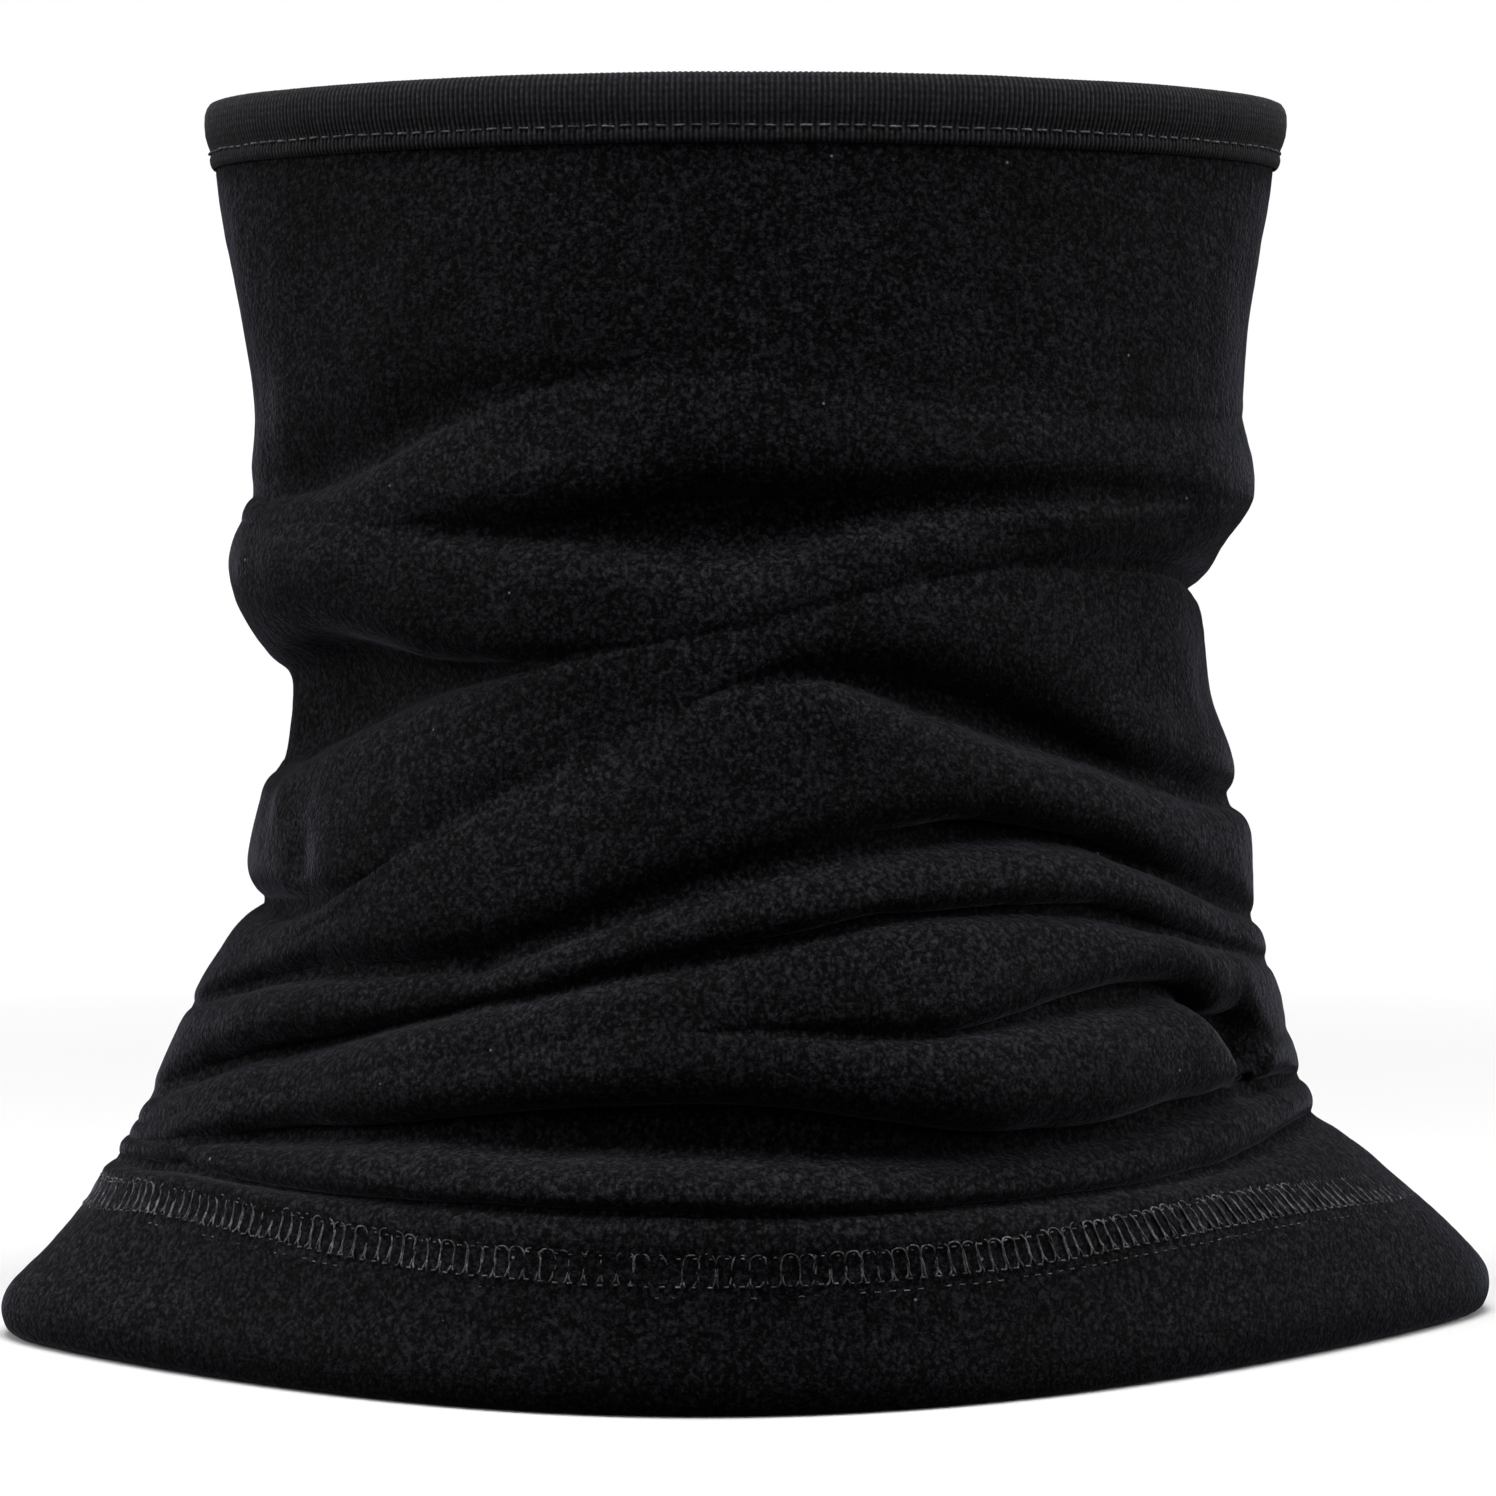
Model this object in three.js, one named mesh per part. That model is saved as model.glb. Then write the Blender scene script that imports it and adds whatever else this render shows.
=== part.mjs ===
import * as THREE from "three";

// Fleece neck gaiter standing on its hem, its body slumped into soft folds.
// Millimetres, +Z up, the front faces -Y. Angles go round the tube from the +X side (0)
// over the front (90) and the -X side (180) to the back (270).

// ---------- driving dimensions ----------
const HEIGHT = 202.5; // floor to the top of the rim binding
const FLEECE = 2.6; // thickness of one layer of pile cloth
const AIR = 0.3; // gap left between neighbouring pieces
const SEGMENTS = 40; // facets round the tube
const PINCH = 0.04; // how far the oval narrows towards its two sides
const HEM_PINCH = 0.135; // the same at the hem, which lies flatter
const HEM_SKEW = 0.13; // turn of the hem: y gained per millimetre of x
const HEM_REACH = 60; // height at which the hem's own shape has faded out
const SAG = 0.3; // rise of a fold's underside per millimetre it runs in
const SINK = 0.13; // drop of a crevice per millimetre of its depth
const SLOT = 0.8; // least opening of a crevice
// height of the underside above each crevice and of the ledge below it, per mm of depth
const UNDERSIDE = [3.0, 1.0, 0.6, 1.0, 1.1, 1.1, 0.7, 0.4, 0.6, 0.6];
const LEDGE = [0.9, 0.7, 0.36, 0.6, 0.45, 0.45, 0.5, 0.3, 0.5];

const BIND_WIDTH = 11.0; // rib binding folded over the rim
const BIND_THICK = 1.1;
const BIND_STITCH = 8.4; // topstitch below the top of the rim

const HEM_HEIGHT = 23.6; // top of the turned-up hem, at its lowest
const HEM_WALL = 2 * FLEECE; // two layers of cloth
const HEM_TOE = 2.0; // rounding of the folded edge at the floor
const HEM_LINES = [23.6, 19.7, 17.5]; // the three needle lines of the cover stitch
const HEM_CHANNEL = 0.4; // depth the stitching pulls into the pile

const THREAD = 0.5; // sewing thread diameter
const SEAM_WIDTH = 5.0; // overlocked seam at the centre back

// ---------- shape of the body before the folds sink into it ----------
// height, reach of the -X side, of the +X side, of the front, of the back
const BODY = [
  [0, 122.7, 122.7, 111.2, 111.2],
  [5, 124.1, 124.1, 112.7, 112.7],
  [13, 117, 118, 111.5, 110.7],
  [25, 108.5, 104.5, 111, 109],
  [29, 106.8, 98, 110.3, 107.6],
  [32, 105.1, 93.2, 109.7, 106.4],
  [38, 101, 91.4, 107.8, 103.6],
  [45, 96.5, 89.3, 105, 100],
  [58, 91, 85.6, 100, 94],
  [70, 84.5, 82.5, 95, 89],
  [80, 84, 82.5, 91, 86],
  [93, 81.5, 78.5, 87, 83],
  [105, 79.5, 72.5, 84, 81],
  [118, 86.5, 71.5, 83, 80],
  [126, 88.5, 75.5, 82, 79],
  [136, 86, 84, 80, 78],
  [150, 84, 80.5, 77, 76],
  [176, 87.5, 84, 74.5, 74],
  [190, 89.9, 85.7, 73.5, 73],
  [203, 90.4, 86.5, 73, 72.5],
];

// how far the stitched part of the hem rides up at each angle
const HEM_WAVE = [
  [0, 1.2], [15, 1.7], [30, 2.8], [40, 3.2], [55, 2.5], [70, 0.9],
  [95, 0], [116, 0.7], [128, 1.9], [140, 3.2], [150, 3.6], [165, 2.4],
  [180, 1.5], [215, 1.8], [250, 0.2], [285, 0.8], [325, 1.8],
];

// ---------- crevices between the folds, from the top down ----------
// Each line goes once round the tube: angle, height, depth, opening.
const CREVICES = {
  brow: [
    [0, 151, 0, 0], [60, 150, 0, 0], [98, 155, 0, 0], [112, 154, 0.8, 0], [122, 151, 2.2, 0],
    [130, 148, 3.5, 0], [138, 144, 4.5, 0], [147, 140.5, 5, 0], [165, 137.5, 2.5, 0],
    [180, 137, 1.0, 0], [205, 138, 1.5, 0], [235, 141, 2.5, 0], [270, 147, 2.5, 0],
    [310, 150, 1, 0],
  ],
  chin: [
    [0, 134, 0, 0], [20, 135, 0.5, 0], [36, 136, 2, 0], [50, 136.5, 3.5, 0], [62, 136, 4.5, 0],
    [74, 134.5, 6.5, 0.5], [84, 133, 9, 2.5], [95, 132.5, 10, 4], [105, 132, 8, 2],
    [117, 131.5, 6, 0.5], [124, 131.3, 4, 0], [132, 131, 1.2, 0], [142, 131, 0, 0],
    [165, 131, 0, 0], [205, 130, 1, 0], [240, 127, 4, 0], [270, 125, 6, 1], [300, 127, 5, 0],
    [330, 131, 2, 0],
  ],
  nape: [
    [0, 120, 3, 0], [20, 123, 3, 0], [38, 124.5, 2.5, 0], [55, 125, 1.2, 0], [70, 123, 0.2, 0],
    [85, 120, 0, 0], [103, 115, 0.4, 0], [113, 112.5, 2, 0], [120, 111, 4.5, 0],
    [128, 110, 7.5, 1], [138, 109, 9.5, 5], [150, 107, 10, 10], [165, 102.5, 7.5, 13],
    [180, 99.5, 3.5, 13], [205, 103, 5, 4], [240, 106, 6, 0], [270, 108, 7, 1],
    [300, 110, 6, 0], [330, 114, 4, 0],
  ],
  throat: [
    [0, 87, 3, 0], [15, 88, 4, 0], [27, 90, 5.5, 0], [36, 92.3, 7, 0], [42, 95, 8, 1],
    [50, 98.3, 9, 3], [56, 100.5, 9, 3.5], [62, 102.8, 8.5, 3], [74, 106, 7, 1.5],
    [82, 107.3, 4, 0.3], [91, 106, 1.2, 0], [104, 98, 0, 0], [128, 84, 0, 0], [140, 76, 1, 0],
    [152, 72, 3.5, 0], [166, 71, 5, 0], [180, 70.5, 4.5, 0], [200, 74, 4, 0], [225, 82, 3, 0],
    [250, 88, 4, 0], [280, 90, 5, 0], [320, 88, 4, 0],
  ],
  collar: [
    [0, 67, 1.2, 0], [16, 71, 2.5, 0], [35, 78, 5, 0], [48, 83, 7.5, 0.3], [60, 85, 9, 1.2],
    [72, 83.2, 7.5, 0.3], [84, 80, 5.5, 0], [95, 76, 5, 0], [105, 71.5, 5, 0],
    [115, 66.5, 5.5, 0], [124, 63, 6.5, 0.5], [138, 60.5, 6, 0], [155, 58.5, 5, 0],
    [165, 56, 3, 0], [174, 53, 1, 0], [190, 51.5, 1.5, 0], [215, 56, 3.5, 0],
    [240, 61, 5, 0], [270, 66, 5.5, 0], [300, 68, 5, 0], [335, 66, 3, 0],
  ],
  yoke: [
    [0, 59, 0.8, 0], [18, 63, 1.5, 0], [33, 67, 3, 0], [48, 71.5, 4.5, 0], [62, 73, 5.5, 0],
    [74, 72.5, 5, 0], [84, 70, 4, 0], [94, 67, 4.5, 0], [105, 63.5, 5, 0],
    [115, 59.5, 5.5, 0], [126, 56, 6.5, 0], [140, 51, 6.5, 0], [155, 45.5, 5.5, 0],
    [165, 41, 3.2, 0], [174, 38, 1.2, 0], [188, 37, 1, 0], [210, 42, 3, 0],
    [240, 50, 4.5, 0], [270, 55, 5, 0], [300, 58, 5, 0], [335, 57, 2.5, 0],
  ],
  lobe: [
    [0, 47.5, 0.3, 0], [12, 47.5, 0.5, 0], [16.5, 47.5, 2, 2], [19.5, 47.3, 6, 6.5],
    [23, 47.2, 7.5, 8], [25.5, 47.6, 7.8, 7], [27.5, 49.2, 7.8, 4.5], [29.5, 52.2, 7.8, 2],
    [32.5, 55, 7.5, 1.2], [38, 56.8, 7.5, 0.8], [44, 57.6, 8, 1], [51, 57.8, 8, 1], [60, 56.3, 6.5, 0.4],
    [69, 54, 4.8, 0], [80, 54.4, 2.8, 0], [90, 54.5, 1, 0], [100, 54, 0, 0],
    [120, 49.5, 0, 0], [150, 40.8, 0, 0], [175, 34.5, 0, 0], [195, 34.5, 0, 0],
    [215, 38, 1.5, 0], [240, 42, 3, 0], [270, 45, 3.5, 0], [310, 45.5, 3.5, 0],
    [342, 46, 2, 0],
  ],
  apron: [
    [0, 38.4, 1, 0], [14, 40.5, 3, 0], [22, 41.6, 5, 0], [28, 42, 5.5, 0],
    [40, 40.8, 6, 0], [54, 38.6, 7, 0], [66, 38.6, 9, 0.6], [76, 39.4, 11, 1.8],
    [86, 40.8, 12, 3], [96, 41.5, 12, 3.4], [108, 41, 11, 2.8], [120, 40.2, 9, 1.6],
    [131, 38.8, 8, 0.8], [142, 37, 7, 0.4], [150, 34.8, 4, 0], [160, 32.3, 1, 0],
    [178, 31.1, 0.4, 0], [200, 31.8, 1.5, 0], [235, 34.5, 4, 0], [270, 37, 6, 1],
    [305, 38.3, 5, 0], [338, 38.2, 3, 0],
  ],
  skirt: [
    [0, 31.6, 1, 0], [18, 31.8, 2.4, 0], [30, 31.2, 2.6, 0], [40, 30.5, 2.5, 0],
    [50, 30.4, 2.5, 0], [62, 30.9, 2.5, 0], [70, 31.2, 2.5, 0], [80, 31.4, 2.5, 0],
    [97, 31, 2.6, 0], [122, 30.3, 2.8, 0], [137, 30.2, 3, 0], [150, 29.9, 3, 0],
    [160, 28.9, 2.4, 0], [180, 27.8, 1.2, 0], [220, 28.9, 2.6, 0], [270, 29.2, 3, 0],
    [310, 29.9, 3, 0], [340, 30.8, 2, 0],
  ],
};

// ---------- helpers ----------
// A smooth curve through [x, ...values] rows; a period makes it close on itself.
function curve(rows, x, column, period = 0) {
  const n = rows.length;
  const at = (i) => {
    const wraps = period ? Math.floor(i / n) : 0;
    const row = period ? rows[i - wraps * n] : rows[Math.min(n - 1, Math.max(0, i))];
    return [row[0] + wraps * period, row[column]];
  };
  const first = rows[0][0];
  const place = period ? first + ((((x - first) % period) + period) % period) : x;
  let i = period ? n - 1 : n - 2;
  while (i > 0 && at(i)[0] > place) i -= 1;
  const [[xa, a], [xb, b]] = [at(i), at(i + 1)];
  const slope = (p, q) => (q[0] > p[0] ? (q[1] - p[1]) / (q[0] - p[0]) : 0);
  const here = slope(at(i), at(i + 1));
  const tangent = (s, t) => (s * t > 0 ? (2 * s * t) / (s + t) : 0);
  const ma = tangent(slope(at(i - 1), at(i)), here);
  const mb = tangent(here, slope(at(i + 1), at(i + 2)));
  const width = xb - xa;
  const u = Math.min(1, Math.max(0, (place - xa) / width));
  const rise = u * u * (3 - 2 * u);
  return a + (b - a) * rise + width * u * (1 - u) * (ma * (1 - u) - mb * u);
}

// A smooth step from 0 to 1.
function ease(x) {
  const u = Math.min(1, Math.max(0, x));
  return u * u * (3 - 2 * u);
}

// The real height of a point whose height is measured along the wavy hem.
function hemHeight(angle, height) {
  return height + ease((height - HEM_TOE - 3) / 11) * curve(HEM_WAVE, angle, 1, 360);
}

// The point that stands out from the body by so much at an angle and height.
function onBody(angle, out, z) {
  const t = (angle * Math.PI) / 180;
  const low = ease(1 - z / HEM_REACH);
  const pinch = PINCH + (HEM_PINCH - PINCH) * low;
  const skew = HEM_SKEW * low;
  const reachX = curve(BODY, z, Math.cos(t) < 0 ? 1 : 2);
  const reachY = curve(BODY, z, Math.sin(t) > 0 ? 3 : 4);
  const x = reachX * Math.cos(t);
  const y = -reachY * ((1 - pinch) * Math.sin(t) - pinch * Math.sin(3 * t)) + skew * x;
  const alongX = -reachX * Math.sin(t);
  const bend = (1 - pinch) * Math.cos(t) - 3 * pinch * Math.cos(3 * t);
  const alongY = -reachY * bend + skew * alongX;
  const length = Math.hypot(alongX, alongY);
  return new THREE.Vector3(x - (out * alongY) / length, y + (out * alongX) / length, z);
}

// A closed section carried round the tube: sectionAt(angle) lists its [out, z] corners,
// up the outside and down the inside.
function around(sectionAt) {
  const corners = sectionAt(0).length;
  const blank = Array.from({ length: corners + 1 }, (_, j) => new THREE.Vector2(1, j));
  const geometry = new THREE.LatheGeometry(blank, SEGMENTS);
  const place = geometry.getAttribute("position");
  for (let i = 0; i <= SEGMENTS; i += 1) {
    const angle = (360 * (i % SEGMENTS)) / SEGMENTS;
    const section = sectionAt(angle);
    for (let j = 0; j <= corners; j += 1) {
      const [out, z] = section[(corners - j) % corners];
      const p = onBody(angle, out, z);
      place.setXYZ(i * (corners + 1) + j, p.x, p.y, p.z);
    }
  }
  geometry.computeVertexNormals();
  return geometry;
}

// ---------- the cloth ----------
// Every crevice at one angle, from the top down.
function crevicesAt(angle) {
  return Object.values(CREVICES).map((line, i) => {
    const depth = Math.max(0, curve(line, angle, 2, 360));
    return {
      z: curve(line, angle, 1, 360) - SINK * depth,
      depth,
      open: Math.max(SLOT, curve(line, angle, 3, 360)),
      underside: UNDERSIDE[i],
      ledge: LEDGE[i],
    };
  });
}

// The outside and the inside of one fold between two crevices.
function fold(above, below) {
  const top = above.z - above.open / 2;
  const foot = below.z + below.open / 2;
  const tall = top - foot;
  const shallow = Math.min(above.depth, below.depth);
  const share = above.depth / (above.depth + below.depth + 0.01);
  const upper = Math.min((0.08 + 0.8 * share) * tall, above.ledge * above.depth + 1.4);
  const lower = Math.min((0.88 - 0.8 * share) * tall, below.underside * below.depth + 1.8);
  const back = (1 - Math.min(1, tall / (0.9 * shallow + 3))) * shallow;
  const slope = (depth) => -back - 0.29 * (depth - back);
  const sunk = (out, z) => [out, z - SAG * out];
  const outside = [
    [-above.depth, top],
    [slope(above.depth), top - 0.29 * upper],
    [-back, top - upper],
    [-back, foot + lower],
    sunk(slope(below.depth), foot + 0.29 * lower),
    sunk(-below.depth, foot),
  ];
  const hollow = Math.min(1, Math.max(0, (tall - 2 * FLEECE - 0.6) / 2));
  const flank = Math.min(FLEECE, 0.3 * tall);
  const inside = [
    [-above.depth, top - flank],
    [-above.depth * (1 - hollow), top - Math.max(upper, flank + 0.1 * tall)],
    sunk(-below.depth * (1 - hollow), foot + Math.max(lower, flank + 0.1 * tall)),
    sunk(-below.depth, foot + flank),
  ];
  return { outside, inside: inside.map(([out, z]) => [out - FLEECE, z]) };
}

// The whole cloth at one angle: the rim edge, the folds, the hem and back up the inside.
function clothSection(angle) {
  const lines = crevicesAt(angle);
  const edge = HEIGHT - BIND_THICK - AIR;
  const first = lines[0];
  const last = lines[lines.length - 1];
  const foot = first.z + first.open / 2;
  const low = first.underside * first.depth + 3;
  const outside = [
    [0, edge],
    [0, HEIGHT - BIND_WIDTH],
    [0, 172],
    [0, foot + low],
    [-0.29 * first.depth, foot + 0.29 * (low + SAG * first.depth)],
    [-first.depth, foot + SAG * first.depth],
  ];
  const inside = [
    [-FLEECE, edge],
    [-FLEECE, HEIGHT - BIND_WIDTH],
    [-FLEECE, 172],
    [-FLEECE, foot + low],
    [-first.depth - FLEECE, foot + SAG * first.depth + 0.6],
  ];
  const top = hemHeight(angle, HEM_HEIGHT);
  const hemTop = { z: top, depth: HEM_CHANNEL, open: 0.4, underside: UNDERSIDE[9] };
  [...lines.slice(1), hemTop].forEach((below, i) => {
    const sides = fold(lines[i], below);
    outside.push(...sides.outside);
    inside.push(...sides.inside);
  });
  inside.pop();
  const onHem = ([out, z]) => [out, hemHeight(angle, z)];
  const hemFace = [
    [-HEM_CHANNEL, HEM_LINES[1]],
    [-HEM_CHANNEL, HEM_LINES[2] - 1.5],
    [0, HEM_LINES[2] - 3.5],
    [0, HEM_TOE + 3],
    [-0.3 * HEM_TOE, 0.3 * HEM_TOE],
    [-HEM_TOE, 0],
  ];
  const hemLap = [
    [-HEM_WALL - HEM_CHANNEL, HEM_LINES[1]],
    [-HEM_WALL - HEM_CHANNEL, HEM_LINES[2] - 1.5],
    [-HEM_WALL - 0.2, HEM_TOE + 3],
    [-HEM_WALL + 0.8, 0],
  ];
  const lap = Math.min(top + 0.6, last.z - last.open / 2 - 1.2);
  outside.push(...hemFace.map(onHem));
  inside.push([-FLEECE - HEM_CHANNEL, lap], [-HEM_WALL - HEM_CHANNEL, lap - 0.5], ...hemLap.map(onHem));
  return [...outside.reverse(), ...inside];
}

// ---------- the binding and the threads ----------
// A strip of rib knit folded over the raw edge of the cloth.
function bindingSection() {
  const foot = HEIGHT - BIND_WIDTH;
  const skin = AIR + BIND_THICK;
  const under = HEIGHT - BIND_THICK;
  return [
    [AIR, foot],
    [skin, foot + 0.4],
    [skin, HEIGHT - 1.6],
    [skin - 1.1, HEIGHT - 0.4],
    [skin - 2.4, HEIGHT],
    [2.4 - skin - FLEECE, HEIGHT],
    [1.1 - skin - FLEECE, HEIGHT - 0.4],
    [-skin - FLEECE, HEIGHT - 1.6],
    [-skin - FLEECE, foot + 0.4],
    [-AIR - FLEECE, foot],
    [-AIR - FLEECE, under],
    [AIR, under],
  ];
}

// A thread lying along the tube, its side against the cloth at a given reach.
function threadSection(out, z, wide = THREAD, thick = THREAD) {
  return [
    [out, z - wide / 2],
    [out + thick, z - wide / 4],
    [out + thick, z + wide / 4],
    [out, z + wide / 2],
  ];
}

// The overlocked seam is a narrow chain of thread down the inside of the centre back.
// It bridges the hollows of the folds, clear of every crevice that juts inwards.
function seamChain() {
  const bottom = HEM_HEIGHT + 3;
  const top = HEIGHT - BIND_WIDTH - 2;
  const deepest = Math.max(...crevicesAt(270).map((line) => line.depth));
  const heights = [bottom, 40, 55, 70, 85, 100, 120, 140, 155, 170, top];
  const reach = (z) => -FLEECE - 2 * AIR - deepest * Math.min(1, (top - z) / 25);
  const path = new THREE.CatmullRomCurve3(heights.map((z) => onBody(270, reach(z) - THREAD, z)));
  const outline = new THREE.Shape();
  outline.moveTo(-SEAM_WIDTH / 2, -THREAD / 2);
  outline.lineTo(SEAM_WIDTH / 2, -THREAD / 2);
  outline.lineTo(SEAM_WIDTH / 2, THREAD / 2);
  outline.lineTo(-SEAM_WIDTH / 2, THREAD / 2);
  return new THREE.ExtrudeGeometry(outline, { steps: 24, extrudePath: path, bevelEnabled: false });
}

// ---------- the assembly ----------
const gaiter = new THREE.Group();
gaiter.name = "neck_gaiter";

function piece(name, geometry, colour, roughness) {
  const material = new THREE.MeshStandardMaterial({ color: colour, roughness, metalness: 0 });
  const mesh = new THREE.Mesh(geometry, material);
  mesh.name = name;
  gaiter.add(mesh);
}

piece("fleece_tube", around(clothSection), 0x17171a, 0.98);

piece("rim_binding", around(bindingSection), 0x1b1b1f, 0.9);
const bindStitchZ = HEIGHT - BIND_STITCH;
const bindOut = 2 * AIR + BIND_THICK;
const bindIn = -FLEECE - bindOut - THREAD;
piece("binding_needle_thread", around(() => threadSection(bindOut, bindStitchZ)), 0x2a2a2e, 0.7);
piece("binding_bobbin_thread", around(() => threadSection(bindIn, bindStitchZ)), 0x2a2a2e, 0.7);

const ladderOut = AIR - HEM_CHANNEL;
const ladderZ = (HEM_LINES[0] + HEM_LINES[2]) / 2;
const ladderWide = HEM_LINES[0] - HEM_LINES[2] - 0.6;
const onHemAt = (angle, section) => section.map(([out, z]) => [out, hemHeight(angle, z)]);
const ladder = (angle) => onHemAt(angle, threadSection(ladderOut, ladderZ, ladderWide, 0.35));
piece("hem_cover_thread", around(ladder), 0x242428, 0.7);
["upper", "middle", "lower"].forEach((line, i) => {
  const out = ladderOut + 0.35 + AIR;
  const geometry = around((angle) => onHemAt(angle, threadSection(out, HEM_LINES[i])));
  piece(`hem_needle_thread_${line}`, geometry, 0x2a2a2e, 0.7);
});
const looperIn = -HEM_WALL - HEM_CHANNEL - AIR - THREAD;
const looper = (angle) => onHemAt(angle, threadSection(looperIn, ladderZ, ladderWide, THREAD));
piece("hem_looper_thread", around(looper), 0x242428, 0.7);

piece("back_seam_thread", seamChain(), 0x242428, 0.75);

export default gaiter;
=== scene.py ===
import math

import bpy
import numpy as np
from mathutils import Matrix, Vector


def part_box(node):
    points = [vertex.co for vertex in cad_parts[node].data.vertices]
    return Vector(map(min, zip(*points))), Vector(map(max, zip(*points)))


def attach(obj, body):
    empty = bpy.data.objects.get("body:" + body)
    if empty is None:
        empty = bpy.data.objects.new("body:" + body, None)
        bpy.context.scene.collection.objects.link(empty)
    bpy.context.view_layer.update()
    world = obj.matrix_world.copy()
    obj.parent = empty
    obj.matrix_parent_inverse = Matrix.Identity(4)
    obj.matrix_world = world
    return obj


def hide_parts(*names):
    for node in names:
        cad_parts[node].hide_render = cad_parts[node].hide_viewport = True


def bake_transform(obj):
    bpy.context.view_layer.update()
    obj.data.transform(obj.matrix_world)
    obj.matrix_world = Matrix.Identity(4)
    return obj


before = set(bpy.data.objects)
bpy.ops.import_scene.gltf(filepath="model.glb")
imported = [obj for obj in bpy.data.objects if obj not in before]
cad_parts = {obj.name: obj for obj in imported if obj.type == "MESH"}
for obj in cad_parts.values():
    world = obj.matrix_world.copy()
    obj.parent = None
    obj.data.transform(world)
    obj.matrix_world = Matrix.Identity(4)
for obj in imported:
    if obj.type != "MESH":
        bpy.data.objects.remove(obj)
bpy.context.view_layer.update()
MM = 0.001  # a millimetre in metres

# ------------------------------------------------------------------ sizes (mm)
rim_low, rim_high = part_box("rim_binding")
HEIGHT = round(rim_high.z / MM, 2)  # floor to the top of the rim binding
FLEECE = 2.6  # thickness of the cloth
PINCH = 0.04  # how far the oval narrows towards its two sides
HEM_PINCH = 0.135  # the same at the hem, which lies flatter
HEM_SKEW = 0.13  # turn of the hem: y gained per millimetre of x
HEM_REACH = 60  # height at which the hem's own shape has faded out
HEM_STILL, HEM_RIDES = 5, 16  # the hem's wave starts at the first height, is whole at the second
SAG = 0.3  # rise of a fold's underside per millimetre it runs in
SINK = 0.13  # drop of a crevice per millimetre of its depth
BIND_WIDTH = round((rim_high.z - rim_low.z) / MM, 2)  # rib binding folded over the rim
BIND_THICK = 1.1
BIND_STITCH = 8.4  # topstitch below the top of the rim
HEM_HEIGHT = 23.6  # top of the turned-up hem, at its lowest
HEM_LINES = (23.6, 19.7, 17.5)  # the needle lines of the cover stitch
HEM_CHANNEL = 0.4  # depth the stitching pulls into the pile
HEM_CREASE = 0.15  # depth of the crease along the top of the hem
AIR = 0.3  # gap between neighbouring pieces
SEAM_ANGLE = 270  # centre of the back
MEAN_RADIUS = 88  # of the body, for lengths measured round it
STITCH_SINK = (98, 26)  # where round the front the hem's stitches sink in: middle and spread

# height, reach of the -X side, of the +X side, of the front, of the back
BODY = np.array([
    [0, 122.7, 122.7, 111.2, 111.2], [5, 124.1, 124.1, 112.7, 112.7], [13, 117, 118, 111.5, 110.7],
    [25, 108.5, 104.5, 111, 109], [29, 106.8, 98, 110.3, 107.6], [32, 105.1, 93.2, 109.7, 106.4],
    [38, 101, 91.4, 107.8, 103.6], [45, 96.5, 89.3, 105, 100], [58, 91, 85.6, 100, 94],
    [70, 84.5, 82.5, 95, 89], [80, 84, 82.5, 91, 86],
    [93, 81.5, 78.5, 87, 83], [105, 79.5, 72.5, 84, 81], [118, 86.5, 71.5, 83, 80],
    [126, 88.5, 75.5, 82, 79], [136, 86, 84, 80, 78], [150, 84, 80.5, 77, 76],
    [176, 87.5, 84, 74.5, 74], [190, 89.9, 85.7, 73.5, 73], [203, 90.4, 86.5, 73, 72.5]], float)

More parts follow.
